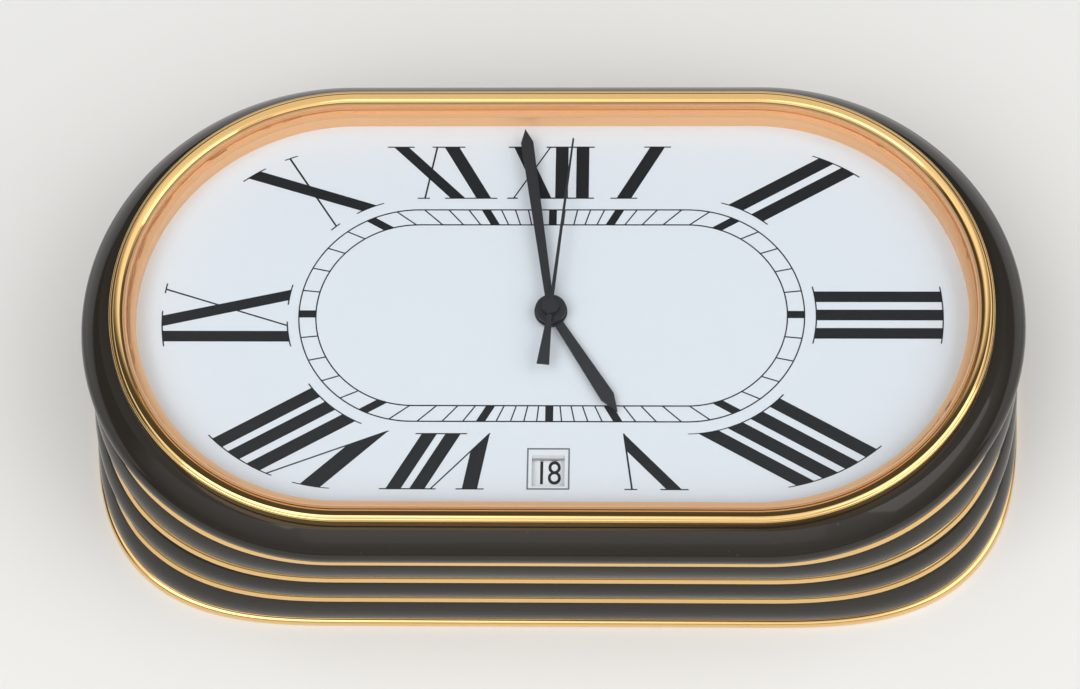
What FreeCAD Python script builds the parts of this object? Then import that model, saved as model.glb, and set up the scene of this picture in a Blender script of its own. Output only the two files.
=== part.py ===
"""Desk clock with a date window: a stadium-shaped case of stacked ribs, lying on its back.

Millimetres. X runs to 3 o'clock, Y to 12 o'clock and Z out of the dial; the origin is the
middle of the face that the clock rests on. "Reach" is the distance of an outline from the
straight line, or spine, between the centres of its two round ends.
"""
import FreeCAD, Part
import math
import os
import Sketcher

V = FreeCAD.Vector
CLOCKWISE = -1

SIZES = {
    # case, from the resting face up
    "case_spine": 33.3,          # half the spine of the case
    "spine_step": 1.3,           # the spine of the bezel and the dial opening is this much shorter
    "rim_height": 2.4,
    "rim_width": 3.9,            # widths are measured outwards from the frame's tube
    "rim_shoulder": 0.2,         # flat of the rim that shows beside the lowest rib
    "rib_height": 5.2,
    "band_height": 2.1,          # each gold band between two ribs
    "lowest_rib_width": 3.8,
    "lowest_band_width": 3.0,
    "middle_rib_width": 3.35,
    "middle_band_width": 2.6,
    "upper_rib_width": 3.0,
    "upper_band_width": 2.6,
    "top_rib_edge_width": 2.9,
    "top_rib_swell": 0.6,        # from its lower edge out to its crest
    "top_rib_height": 6.5,
    "top_rib_crest": 2.1,        # height of its widest line above its lower edge
    "shelf_width": 0.4,          # where the flat top of the top rib starts to fall away
    "rib_edge_inset": 0.1,       # lacquer edges lie this far inside the gold beside them
    "frame_wall": 1.8,           # the tube that the ribs and bands are threaded on
    "frame_skirt": 0.8,
    "frame_top_gap": 1.3,        # from the top of the frame to the shelf
    "flange_height": 1.3,
    "flange_width": 2.4,
    "ledge_width": 2.0,
    "ledge_height": 1.6,
    "fit": 0.1,                  # running or seating clearance
    "gap": 0.3,                  # clearance between parts that move apart
    # dial and glass
    "dial_sink": 2.9,            # the dial's face below the shelf of the top rib
    "dial_thick": 0.6,
    "bezel_skirt": 0.9,
    "bezel_skirt_drop": 1.2,
    "bezel_overhang": 1.8,       # the bezel's foot beyond its skirt, on the shelf
    "bezel_step": 0.3,
    "bezel_foot": 0.7,
    "roll_height": 5.5,          # crown of the bezel's roll above the dial
    "lip_wall": 0.5,             # the flange beside the glass
    "lip_height": 5.0,           # the flange's top above the dial
    "rabbet_width": 0.7,         # the step that the glass lies on
    "opening_flare": 0.3,
    "glass_thick": 1.3,
    "gasket_thick": 0.2,
    "gasket_width": 0.45,
    "window_wide": 5.1,
    "window_tall": 5.2,
    "window_margin": 2.2,        # middle of the date window from the date ring's inner edge
    "dial_bore": 2.3,
    # hands
    "hand_thick": 0.4,
    "hour_hand_lift": 0.8,       # underside above the dial
    "minute_hand_lift": 1.7,
    "second_hand_lift": 2.6,
    "second_hand_thick": 0.2,
    "second_boss_height": 0.6,
    "hour_hand_length": 20.4,
    "hour_shoulder": 17.3,
    "hour_shoulder_wide": 2.3,
    "hour_root_wide": 1.3,
    "hour_boss": 2.6,
    "minute_hand_length": 32.6,
    "minute_shoulder": 30.1,
    "minute_shoulder_wide": 2.0,
    "minute_root_wide": 1.2,
    "minute_boss": 2.45,
    "second_hand_length": 30.5,
    "second_tip_wide": 0.3,
    "second_root_wide": 0.6,
    "second_tail_length": 10.0,
    "second_tail_wide": 2.0,
    "second_boss": 1.3,
    # arbors
    "second_arbor": 0.5,
    "minute_arbor": 1.2,
    "hour_pipe": 1.9,
    # movement, downwards from the dial
    "spacer_height": 3.7,
    "plate_thick": 1.2,
    "plate_gap": 0.2,            # the movement plate inside the frame's ledge
    "plate_overlap": 2.3,        # how far the plate reaches under the spacer
    "wheel_thick": 0.5,
    "pinion_extra": 0.3,
    "layer": 0.8,                # pitch of the gear layers under the dial
    "date_ring_gap": 0.5,        # from the spacer's bore, and from the dial's underside
    "date_ring_width": 6.5,
    "date_tooth_height": 1.0,
    "date_ring_thick": 0.6,
    "date_wheel_gap": 0.46,      # from the widest wheel's teeth to the date ring's register
    "register_wall": 0.7,
    "keeper_thick": 0.2,
    "keeper_width": 1.2,         # the keeper's reach past the tips of the date ring's teeth
    "finger_wide": 1.0,
    "finger_gap": 0.4,
    "finger_notch": 11.4,
    "stud_radius": 0.8,
    "bridge_margin": 4.5,        # the bridge's reach past the date corrector
    "bridge_corner": 9.0,
    "bridge_drop": 10.2,         # from the movement plate down to the bridge
    "cover_gap": 0.8,
    "cover_wall": 1.2,
    "cover_height": 13.2,
    "pillar_inset": 5.0,
    "pillar_radius": 1.5,
    # gears: modules
    "cannon_module": 0.5,
    "date_module": 0.55,
    "train_module": 0.3,
    "second_wheel_module": 0.25,
    # stepping motor and circuit
    "coil_radius": 3.2,
    "coil_length": 18.0,
    "coil_place": 17.0,
    "core_wide": 3.0,
    "core_thick": 1.0,
    "stator_length": 26.0,
    "motor_wide": 8.0,
    "motor_height": 6.0,
    "motor_inner": 5.5,
    "motor_slot_depth": 1.4,
    "board_long": 30.0,
    "board_wide": 10.0,
    "board_thick": 1.0,
    "board_place": 15.0,
    "quartz_radius": 1.0,
    "quartz_length": 6.0,
    # power
    "cell_radius": 6.0,
    "cell_length": 29.2,
    "cell_nub": 1.0,
    "cell_nub_radius": 2.0,
    "cell_gap": 0.4,             # between the cradle and the movement's cover
    "cradle_wall": 2.0,
    "cradle_roof": 1.6,
    "contact_thick": 0.5,
    "contact_size": 8.0,
    "cradle_foot_long": 20.0,
    # back
    "back_gap": 0.4,             # the back's face above the resting face
    "back_thick": 3.5,
    "back_margin": 0.2,          # between the back plate and the base rim
    "hatch_radius": 17.0,
    "hatch_lip": 1.5,
    "hatch_thick": 1.8,
    "hatch_recess": 0.2,
    "hatch_gasket": 0.25,
    "lug_reach": 1.1,
    "lug_thick": 0.8,
    "lug_wide": 6.0,
    "coin_slot_long": 16.0,
    "coin_slot_wide": 1.8,
    "coin_slot_deep": 0.9,
    "hatch_turn": 40.0,          # degrees from locked to free
    "knob_radius": 5.0,
    "knob_height": 3.2,
    "knob_recess": 0.5,
    "knob_shaft": 0.9,
    "knob_hole": 5.8,
    "knob_flutes": 18.0,
    "corrector_x": 18.0,
    "corrector_y": 12.0,
    "corrector_radius": 1.5,
    "corrector_head": 2.2,
    "corrector_travel": 1.5,
    "strut_hinge_margin": 8.0,   # hinge axis from the back plate's edge
    "strut_foot_margin": 1.0,
    "strut_root_wide": 10.0,
    "strut_foot_wide": 8.0,
    "strut_thick": 2.2,
    "strut_recess": 0.2,
    "strut_pin": 0.6,
    "strut_pin_length": 20.0,
    # screws
    "screw_head": 1.6,
    "screw_head_height": 0.9,
    "screw_shank": 0.8,
    "small_head": 1.1,
    "screw_x": 22.0,
    "screw_slot": 0.4,
}
ANGLES = {"hour_hand": 148.4, "minute_hand": 351.8, "second_hand": 6.0}   # clockwise from 12
TOOTH_COUNT = {
    "cannon_pinion": 12, "motion_wheel": 36, "motion_pinion": 10, "hour_wheel": 40,
    "date_pinion": 16, "date_wheel": 32, "centre_wheel": 64, "third_pinion": 8,
    "third_wheel": 60, "second_pinion": 8, "second_wheel": 50, "date_ring": 31,
}
DAY_SPACING = 360 / TOOTH_COUNT["date_ring"]


# ---------------------------------------------------------------- sizes and the sheet
class Size:
    """A length known both as a number and as a formula on the sheet."""

    def __init__(self, value, formula):
        self.value = value
        self.formula = formula

    def __add__(self, other):
        other = as_size(other)
        return Size(self.value + other.value, "(%s + %s)" % (self.formula, other.formula))

    def __sub__(self, other):
        other = as_size(other)
        return Size(self.value - other.value, "(%s - %s)" % (self.formula, other.formula))

    def __mul__(self, factor):
        return Size(self.value * factor, "(%s * %r)" % (self.formula, factor))

    def __truediv__(self, factor):
        return Size(self.value / factor, "(%s / %r)" % (self.formula, factor))

    def __neg__(self):
        return Size(-self.value, "(-1 * %s)" % self.formula)

    __radd__ = __add__
    __rmul__ = __mul__


def as_size(number):
    return number if isinstance(number, Size) else Size(float(number), repr(float(number)))


def larger(first, second):
    return Size(max(first.value, second.value), "max(%s; %s)" % (first.formula, second.formula))


def fill_sheet():
    """Write every driving dimension into the sheet, one row each, and give it its alias."""
    for row, (name, value) in enumerate(SIZES.items(), start=1):
        sheet.set("A%d" % row, name)
        sheet.set("B%d" % row, str(value))
        sheet.setAlias("B%d" % row, name)


class Dimensions:
    """Every driving dimension by its own name."""

    def __init__(self):
        for name, value in SIZES.items():
            setattr(self, name, Size(value, "sizes." + name))


doc = FreeCAD.newDocument("desk_clock")
sheet = doc.addObject("Spreadsheet::Sheet", "sizes")
fill_sheet()
doc.recompute()
d = Dimensions()
ZERO = as_size(0)
parts = []


def bind(thing, name, size):
    thing.setExpression(name, as_size(size).formula)


def keep(thing, label):
    """Name a finished sub-part and put it on the list that is written out."""
    thing.Label = label
    parts.append(thing)
    return thing


# ---------------------------------------------------------------- sketch helpers
def origin_plane(body, role):
    for feature in body.Origin.OriginFeatures:
        if feature.Role == role:
            return feature
    raise ValueError(role)


def new_sketch(body, name, role="XY_Plane", height=ZERO):
    sketch = body.newObject("Sketcher::SketchObject", name)
    sketch.AttachmentSupport = (origin_plane(body, role), "")
    sketch.MapMode = "FlatFace"
    bind(sketch, "AttachmentOffset.Base.z", height)
    return sketch


def pin_coordinate(sketch, kind, axis, geo, pos, size):
    """Hold one coordinate of a point at a size; a negative one is measured the other way."""
    if size.formula == ZERO.formula:
        sketch.addConstraint(Sketcher.Constraint("PointOnObject", geo, pos, axis))
        return
    if size.value < 0:
        row = sketch.addConstraint(Sketcher.Constraint(kind, geo, pos, -1, 1, -size.value))
        size = -size
    else:
        row = sketch.addConstraint(Sketcher.Constraint(kind, -1, 1, geo, pos, size.value))
    bind(sketch, "Constraints[%d]" % row, size)


def pin_point(sketch, geo, pos, x, y):
    pin_coordinate(sketch, "DistanceX", -2, geo, pos, as_size(x))
    pin_coordinate(sketch, "DistanceY", -1, geo, pos, as_size(y))


def pin_radius(sketch, geo, radius):
    row = sketch.addConstraint(Sketcher.Constraint("Radius", geo, radius.value))
    bind(sketch, "Constraints[%d]" % row, radius)


def add_circle(sketch, x, y, radius):
    x, y = as_size(x), as_size(y)
    circle = Part.Circle(V(x.value, y.value, 0), V(0, 0, 1), radius.value)
    geo = sketch.addGeometry(circle, False)
    pin_point(sketch, geo, 3, x, y)
    pin_radius(sketch, geo, radius)


def circle_through(a, b, c):
    circle = Part.Circle(a, b, c)
    return circle.Center, circle.Radius


def circle_tangent(start, direction, end):
    """Centre and radius of the circle that leaves start along direction and meets end."""
    normal = V(-direction.y, direction.x, 0)
    chord = end - start
    along = chord.dot(chord) / (2 * chord.dot(normal))
    return start + normal * along, abs(along)


def arc_between(centre, radius, start, end, counter_clockwise):
    first, last = (start, end) if counter_clockwise else (end, start)
    a0 = math.atan2(first.y - centre.y, first.x - centre.x)
    a1 = math.atan2(last.y - centre.y, last.x - centre.x)
    if a1 < a0:
        a1 += 2 * math.pi
    return Part.ArcOfCircle(Part.Circle(centre, V(0, 0, 1), radius), a0, a1)


def add_outline(sketch, start, steps):
    """Closed outline: ("line", x, y), ("arc", xm, ym, x, y) or ("smooth", x, y) steps.

    An arc passes through its middle point; a smooth arc leaves the step before it tangentially.
    """
    here = V(as_size(start[0]).value, as_size(start[1]).value, 0)
    edges = []
    heading = None
    for step in steps:
        x, y = [as_size(v) for v in step[-2:]]
        there = V(x.value, y.value, 0)
        if step[0] == "line":
            geo = sketch.addGeometry(Part.LineSegment(here, there), False)
            edges.append((geo, 1, 2))
            heading = (there - here).normalize()
        else:
            if step[0] == "arc":
                middle = V(as_size(step[1]).value, as_size(step[2]).value, 0)
                centre, radius = circle_through(here, middle, there)
                turn = (middle - here).cross(there - middle).z
            else:
                centre, radius = circle_tangent(here, heading, there)
                turn = heading.cross(there - here).z
            geo = sketch.addGeometry(arc_between(centre, radius, here, there, turn > 0), False)
            edges.append((geo, 1, 2) if turn > 0 else (geo, 2, 1))
            spoke = (there - centre).normalize()
            heading = V(-spoke.y, spoke.x, 0) if turn > 0 else V(spoke.y, -spoke.x, 0)
            if step[0] == "arc":
                point = sketch.addGeometry(Part.Point(middle), True)
                pin_point(sketch, point, 1, step[1], step[2])
                sketch.addConstraint(Sketcher.Constraint("PointOnObject", point, 1, geo))
        here = there
    corners = [start] + [step[-2:] for step in steps[:-1]]
    for i, (geo, first, last) in enumerate(edges):
        before, _, before_last = edges[i - 1]
        kind = "Tangent" if steps[i][0] == "smooth" else "Coincident"
        sketch.addConstraint(Sketcher.Constraint(kind, before, before_last, geo, first))
        pin_point(sketch, geo, first, *corners[i])


def add_polygon(sketch, corners):
    add_outline(sketch, corners[0], [("line", x, y) for x, y in corners[1:] + corners[:1]])


def add_rectangle(sketch, x0, y0, x1, y1):
    add_polygon(sketch, [(x0, y0), (x1, y0), (x1, y1), (x0, y1)])


def add_stadium(sketch, spine, reach, split=False):
    """Stadium outline; split starts it at the middle of its upper straight side."""
    s, r = spine.value, reach.value
    half = math.pi / 2
    left = Part.ArcOfCircle(Part.Circle(V(-s, 0, 0), V(0, 0, 1), r), half, 3 * half)
    right = Part.ArcOfCircle(Part.Circle(V(s, 0, 0), V(0, 0, 1), r), -half, half)
    bottom = Part.LineSegment(V(-s, -r, 0), V(s, -r, 0))
    if split:
        tops = [Part.LineSegment(V(s, r, 0), V(0, r, 0)), Part.LineSegment(V(0, r, 0), V(-s, r, 0))]
    else:
        tops = [Part.LineSegment(V(s, r, 0), V(-s, r, 0))]
    geos = sketch.addGeometry(tops + [left, bottom, right], False)
    arcs = (geos[-3], geos[-1])
    pin_point(sketch, arcs[0], 3, -spine, 0)
    pin_point(sketch, arcs[1], 3, spine, 0)
    pin_radius(sketch, arcs[0], reach)
    sketch.addConstraint(Sketcher.Constraint("Equal", arcs[0], arcs[1]))
    order = geos[len(tops) - 1:] + geos[:1]
    for before, after in zip(order, order[1:]):
        sketch.addConstraint(Sketcher.Constraint("Tangent", before, 2, after, 1))
    if split:
        sketch.addConstraint(Sketcher.Constraint("Coincident", geos[0], 2, geos[1], 1))
        sketch.addConstraint(Sketcher.Constraint("PointOnObject", geos[0], 2, -2))
        sketch.addConstraint(Sketcher.Constraint("Horizontal", geos[0]))


# ---------------------------------------------------------------- body helpers
def new_body(label):
    return keep(doc.addObject("PartDesign::Body", label), label)


def pad(body, sketch, thick):
    feature = body.newObject("PartDesign::Pad", sketch.Name + "_pad")
    feature.Profile = sketch
    bind(feature, "Length", thick)
    sketch.Visibility = False
    return feature


def cut_up(body, sketch, deep):
    """Pocket that runs upwards from its sketch."""
    feature = body.newObject("PartDesign::Pocket", sketch.Name + "_cut")
    feature.Profile = sketch
    feature.Reversed = True
    bind(feature, "Length", deep)
    sketch.Visibility = False
    return feature


def stadium_ring(label, spine, start, steps):
    """A ring of constant section, given as (reach, height), carried round a stadium."""
    body = new_body(label)
    path = new_sketch(body, label + "_path")
    add_stadium(path, spine, as_size(start[0]), split=True)
    section = new_sketch(body, label + "_section", "YZ_Plane")
    add_outline(section, start, steps)
    pipe = body.newObject("PartDesign::AdditivePipe", label + "_pipe")
    pipe.Profile = section
    pipe.Spine = (path, ["Edge%d" % (i + 1) for i in range(5)])
    path.Visibility = False
    section.Visibility = False
    return body


def square_section(inner, low, outer, high):
    return (inner, low), [("line", outer, low), ("line", outer, high), ("line", inner, high),
                          ("line", inner, low)]


def stadium_plate(label, spine, reach, low, thick):
    body = new_body(label)
    outline = new_sketch(body, label + "_outline", height=low)
    add_stadium(outline, spine, reach)
    pad(body, outline, thick)
    return body


# ---------------------------------------------------------------- primitive helpers
def place(thing, x, y, z):
    bind(thing, "Placement.Base.x", x)
    bind(thing, "Placement.Base.y", y)
    bind(thing, "Placement.Base.z", z)
    return thing


def cylinder(radius, height, x=0, y=0, z=0):
    thing = doc.addObject("Part::Cylinder", "cylinder")
    bind(thing, "Radius", radius)
    bind(thing, "Height", height)
    return place(thing, x, y, z)


def cylinder_along_x(radius, length, x, y, z):
    thing = cylinder(radius, length, x, y, z)
    thing.Placement.Rotation = FreeCAD.Rotation(V(0, 1, 0), 90)
    return thing


def cylinder_along_y(radius, length, x, y, z):
    thing = cylinder(radius, length, x, y, z)
    thing.Placement.Rotation = FreeCAD.Rotation(V(1, 0, 0), -90)
    return thing


def block(long, wide, high, x, y, z):
    """Box with its middle at x, y and its underside at z."""
    thing = doc.addObject("Part::Box", "block")
    bind(thing, "Length", long)
    bind(thing, "Width", wide)
    bind(thing, "Height", high)
    return place(thing, as_size(x) - as_size(long) / 2, as_size(y) - as_size(wide) / 2, z)


def fuse(*shapes):
    thing = doc.addObject("Part::MultiFuse", "fuse")
    thing.Shapes = list(shapes)
    return thing


def cut(base, *tools):
    thing = doc.addObject("Part::Cut", "cut")
    thing.Base = base
    thing.Tool = tools[0] if len(tools) == 1 else fuse(*tools)
    return thing


def group(*shapes):
    """Separate solids that share one sub-part."""
    thing = doc.addObject("Part::Compound", "group")
    thing.Links = list(shapes)
    return thing


def tube(outer, inner, height, x=0, y=0, z=0):
    return cut(cylinder(outer, height, x, y, z), cylinder(inner, height, x, y, z))


# ---------------------------------------------------------------- gears that the reaches depend on
WHEEL_TOOTH = {"addendum": 0.80, "dedendum": 1.05, "half": 0.21, "tip": 0.07}
PINION_TOOTH = {"addendum": 0.55, "dedendum": 1.35, "half": 0.17, "tip": 0.05}
ROOT_FLARE = 1.12


def centre_distance(first, second, module):
    return module * ((TOOTH_COUNT[first] + TOOTH_COUNT[second]) / 2)


def tip_radius(wheel, module):
    return module * (TOOTH_COUNT[wheel] / 2 + WHEEL_TOOTH["addendum"])


MOTION_DISTANCE = centre_distance("cannon_pinion", "motion_wheel", d.cannon_module)
DATE_DISTANCE = centre_distance("date_pinion", "date_wheel", d.date_module)
WHEELS_REACH = larger(MOTION_DISTANCE + tip_radius("motion_wheel", d.cannon_module),
                      DATE_DISTANCE + tip_radius("date_wheel", d.date_module))


# ---------------------------------------------------------------- reaches, from the wheels outwards
REGISTER_INNER = WHEELS_REACH + d.date_wheel_gap
REGISTER_OUTER = REGISTER_INNER + d.register_wall
DATE_TOOTH_TIP = REGISTER_OUTER + d.fit
DATE_RING_INNER = DATE_TOOTH_TIP + d.date_tooth_height
DATE_SEAT_INNER = DATE_RING_INNER - d.gap
DATE_RING_OUTER = DATE_RING_INNER + d.date_ring_width
SPACER_BORE = DATE_RING_OUTER + d.date_ring_gap
PLATE_RADIUS = SPACER_BORE + d.plate_overlap
LEDGE_REACH = PLATE_RADIUS + d.plate_gap
FRAME_BORE = LEDGE_REACH + d.ledge_width
FRAME_REACH = FRAME_BORE + d.frame_wall
RIM_REACH = FRAME_REACH + d.rim_width
LOWEST_BAND_REACH = FRAME_REACH + d.lowest_band_width
MIDDLE_BAND_REACH = FRAME_REACH + d.middle_band_width
UPPER_BAND_REACH = FRAME_REACH + d.upper_band_width
RIB_BORE = FRAME_BORE + d.gap
SKIRT_OUTER = RIB_BORE - d.fit
SKIRT_INNER = SKIRT_OUTER - d.bezel_skirt
FLANGE_OUTER = SKIRT_INNER - d.fit
LIP_REACH = FLANGE_OUTER - d.lip_wall
RABBET_REACH = LIP_REACH - d.rabbet_width
OPENING_REACH = RABBET_REACH - d.opening_flare
DIAL_REACH = FRAME_BORE - d.gap
BACK_REACH = FRAME_REACH - d.frame_skirt - d.back_margin
DIAL_SPINE = d.case_spine - d.spine_step
BRIDGE_SIZE = (d.corrector_x + d.bridge_margin) * 2
COVER_HOLLOW = BRIDGE_SIZE + d.cover_gap * 2
COVER_SIZE = COVER_HOLLOW + d.cover_wall * 2
PILLAR_PLACE = BRIDGE_SIZE / 2 - d.pillar_inset
STRUT_HINGE = BACK_REACH - d.strut_hinge_margin
STRUT_LENGTH = STRUT_HINGE + BACK_REACH - d.strut_foot_margin


# ---------------------------------------------------------------- heights in the stack
RIM_TOP = d.rim_height
BAND_3 = RIM_TOP + d.rib_height
RIB_3 = BAND_3 + d.band_height
BAND_2 = RIB_3 + d.rib_height
RIB_2 = BAND_2 + d.band_height
BAND_1 = RIB_2 + d.rib_height
RIB_1 = BAND_1 + d.band_height
SHELF = RIB_1 + d.top_rib_height
FRAME_TOP = SHELF - d.frame_top_gap
DIAL_FACE = SHELF - d.dial_sink
DIAL_BACK = DIAL_FACE - d.dial_thick
LIP_TOP = DIAL_FACE + d.lip_height
GLASS_TOP = LIP_TOP
GLASS_BACK = GLASS_TOP - d.glass_thick
SPACER_BACK = DIAL_BACK - d.spacer_height
PLATE_BACK = SPACER_BACK - d.plate_thick
BRIDGE_BACK = PLATE_BACK - d.bridge_drop - d.plate_thick
COVER_BACK = PLATE_BACK - d.cover_height
BACK_FACE = d.back_gap
BACK_TOP = BACK_FACE + d.back_thick
LAYER_1 = SPACER_BACK + d.gap
LAYER_2 = LAYER_1 + d.layer
LAYER_3 = LAYER_2 + d.layer
LAYER_4 = LAYER_3 + d.layer
HOUR_HAND = DIAL_FACE + d.hour_hand_lift
MINUTE_HAND = DIAL_FACE + d.minute_hand_lift
SECOND_HAND = DIAL_FACE + d.second_hand_lift
CENTRE_LAYER = PLATE_BACK - d.wheel_thick - d.gap * 3
THIRD_LAYER = CENTRE_LAYER - d.wheel_thick * 4
SECOND_LAYER = THIRD_LAYER - d.wheel_thick * 6


# ---------------------------------------------------------------- case
def lacquer_rib(label, low, lower_reach, width, upper_reach):
    """A rib bulging between the band or rim below it and the band above it."""
    foot = lower_reach - d.rib_edge_inset
    brow = upper_reach - d.rib_edge_inset
    high = low + d.rib_height
    return stadium_ring(label, d.case_spine, (FRAME_REACH, low), [
        ("line", foot, low),
        ("arc", FRAME_REACH + width, low + d.rib_height / 2, brow, high),
        ("line", FRAME_REACH, high),
        ("line", FRAME_REACH, low)])


def top_rib():
    """The wide rib that hooks over the frame and carries the bezel on its flat shelf."""
    crest = RIB_1 + d.top_rib_crest
    edge = FRAME_REACH + d.top_rib_edge_width
    widest = edge + d.top_rib_swell
    shelf = FRAME_REACH + d.shelf_width
    rise = SHELF - crest
    return stadium_ring("lacquer_rib_1", d.case_spine, (FRAME_REACH, RIB_1), [
        ("line", edge, RIB_1),
        ("arc", edge + d.top_rib_swell * 0.72, RIB_1 + d.top_rib_crest * 0.45, widest, crest),
        ("arc", shelf + (widest - shelf) * 0.71, crest + rise * 0.71, shelf, SHELF),
        ("line", RIB_BORE, SHELF),
        ("line", RIB_BORE, FRAME_TOP),
        ("line", FRAME_REACH, FRAME_TOP),
        ("line", FRAME_REACH, RIB_1)])


def gold_band(label, low, reach):
    return stadium_ring(label, d.case_spine,
                        *square_section(FRAME_REACH, low, reach, low + d.band_height))


def base_rim():
    inner = FRAME_REACH - d.frame_skirt
    return stadium_ring("base_rim", d.case_spine, *square_section(inner, ZERO, RIM_REACH, RIM_TOP))


def inner_frame():
    """The tube that the ribs and bands are threaded on, with its dial ledge and back flange."""
    wall = FRAME_BORE
    skirt = FRAME_REACH - d.frame_skirt
    ledge = LEDGE_REACH
    flange = wall - d.flange_width
    return stadium_ring("inner_frame", d.case_spine, (skirt, RIM_TOP), [
        ("line", FRAME_REACH, RIM_TOP),
        ("line", FRAME_REACH, FRAME_TOP),
        ("line", wall, FRAME_TOP),
        ("line", wall, SPACER_BACK),
        ("line", ledge, SPACER_BACK),
        ("line", ledge, SPACER_BACK - d.ledge_height),
        ("line", wall, SPACER_BACK - d.ledge_height),
        ("line", wall, BACK_TOP + d.flange_height),
        ("line", flange, BACK_TOP + d.flange_height),
        ("line", flange, BACK_TOP),
        ("line", skirt, BACK_TOP),
        ("line", skirt, RIM_TOP)])


def bezel():
    """Polished bezel: a skirt inside the top rib, a stepped foot on its shelf and a round roll."""
    bottom = SHELF - d.bezel_skirt_drop
    foot = SHELF + d.bezel_foot - d.bezel_step / 2
    crown = DIAL_FACE + d.roll_height
    reach = SKIRT_OUTER + d.bezel_overhang
    outer = reach - d.bezel_step
    return stadium_ring("bezel", DIAL_SPINE, (SKIRT_INNER, bottom), [
        ("line", SKIRT_OUTER, bottom),
        ("line", SKIRT_OUTER, SHELF),
        ("line", reach, SHELF),
        ("line", reach, foot),
        ("line", outer, SHELF + d.bezel_foot),
        ("arc", outer - (outer - SKIRT_INNER) * 0.4, crown, SKIRT_INNER, LIP_TOP),
        ("line", SKIRT_INNER, bottom)])


def flange_ring():
    """Satin flange between the dial and the glass, with the rabbet that the glass lies in."""
    ledge = GLASS_BACK - d.gasket_thick
    return stadium_ring("flange_ring", DIAL_SPINE, (OPENING_REACH, DIAL_FACE), [
        ("line", FLANGE_OUTER, DIAL_FACE),
        ("line", FLANGE_OUTER, LIP_TOP),
        ("line", LIP_REACH, LIP_TOP),
        ("line", LIP_REACH, ledge),
        ("line", RABBET_REACH, ledge),
        ("line", OPENING_REACH, DIAL_FACE)])


def crystal_gasket():
    outer = LIP_REACH - d.fit
    return stadium_ring("crystal_gasket", DIAL_SPINE,
                        *square_section(outer - d.gasket_width, GLASS_BACK - d.gasket_thick,
                                        outer, GLASS_BACK))


def crystal():
    return stadium_plate("crystal", DIAL_SPINE, LIP_REACH - d.fit, GLASS_BACK, d.glass_thick)


def dial():
    body = stadium_plate("dial", d.case_spine, DIAL_REACH, DIAL_BACK, d.dial_thick)
    holes = new_sketch(body, "dial_holes", height=DIAL_BACK)
    add_circle(holes, 0, 0, d.dial_bore)
    middle = -DATE_RING_INNER - d.window_margin
    add_rectangle(holes, -d.window_wide / 2, middle - d.window_tall / 2,
                  d.window_wide / 2, middle + d.window_tall / 2)
    cut_up(body, holes, d.dial_thick)
    return body


# ---------------------------------------------------------------- movement
def movement_spacer():
    """Plate-shaped spacer behind the whole dial, bored for the date ring and its works."""
    body = stadium_plate("movement_spacer", d.case_spine, DIAL_REACH, SPACER_BACK, d.spacer_height)
    bore = new_sketch(body, "spacer_bore", height=SPACER_BACK)
    add_circle(bore, 0, 0, SPACER_BORE)
    cut_up(body, bore, d.spacer_height)
    holes = new_sketch(body, "spacer_screw_holes", height=SPACER_BACK)
    add_screw_circles(holes)
    cut_up(body, holes, d.spacer_height - d.plate_thick)
    return body


def movement_screw_places():
    """The four screws stand on the diagonals, between the spacer's bore and the plate's edge."""
    along = (SPACER_BORE + PLATE_RADIUS) / 2 * math.sqrt(0.5)
    return [(along * i, along * j) for i in (1, -1) for j in (1, -1)]


def add_screw_circles(sketch):
    for x, y in movement_screw_places():
        add_circle(sketch, x, y, d.screw_shank)


def movement_plate():
    """Main plate: the seat and register of the date ring, arbor holes and the date stud."""
    body = new_body("movement_plate")
    disc = new_sketch(body, "plate_disc", height=PLATE_BACK)
    add_circle(disc, 0, 0, PLATE_RADIUS)
    pad(body, disc, d.plate_thick)
    seat = new_sketch(body, "date_seat", height=SPACER_BACK)
    add_circle(seat, 0, 0, DATE_RING_OUTER)
    add_circle(seat, 0, 0, DATE_SEAT_INNER)
    pad(body, seat, DATE_RING - d.gap - SPACER_BACK)
    register = new_sketch(body, "date_register", height=SPACER_BACK)
    add_circle(register, 0, 0, REGISTER_OUTER)
    add_circle(register, 0, 0, REGISTER_INNER)
    pad(body, register, KEEPER - SPACER_BACK)
    notch = new_sketch(body, "finger_notch", height=LAYER_4 - d.gap)
    add_rectangle(notch, -DATE_SEAT_INNER, -d.finger_notch / 2,
                  -DATE_DISTANCE, d.finger_notch / 2)
    cut_up(body, notch, d.layer * 2)
    stud = new_sketch(body, "date_stud", height=SPACER_BACK)
    add_circle(stud, -DATE_DISTANCE, 0, d.stud_radius)
    pad(body, stud, LAYER_4 + d.wheel_thick - SPACER_BACK)
    holes = new_sketch(body, "plate_holes", height=PLATE_BACK)
    add_circle(holes, 0, 0, d.minute_arbor + d.fit)
    add_circle(holes, MOTION_DISTANCE, 0, d.knob_shaft + d.fit)
    add_circle(holes, 0, THIRD_DISTANCE, d.second_arbor + d.fit)
    add_screw_circles(holes)
    cut_up(body, holes, d.plate_thick)
    return body


def date_keeper():
    """Flat ring over the register that keeps the date ring down."""
    reach = DATE_TOOTH_TIP + d.keeper_width
    return keep(tube(reach, REGISTER_INNER, d.keeper_thick, z=KEEPER), "date_keeper")


def rounded_plate(body, name, size, corner, low, thick):
    """Square plate with round corners, as a pad of a square and four rounded edges."""
    sketch = new_sketch(body, name, height=low)
    half = size / 2
    flat = half - corner
    bulge = flat + corner * math.sqrt(0.5)
    add_outline(sketch, (-flat, -half), [
        ("line", flat, -half), ("arc", bulge, -bulge, half, -flat),
        ("line", half, flat), ("arc", bulge, bulge, flat, half),
        ("line", -flat, half), ("arc", -bulge, bulge, -half, flat),
        ("line", -half, -flat), ("arc", -bulge, -bulge, -flat, -half)])
    return sketch


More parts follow.
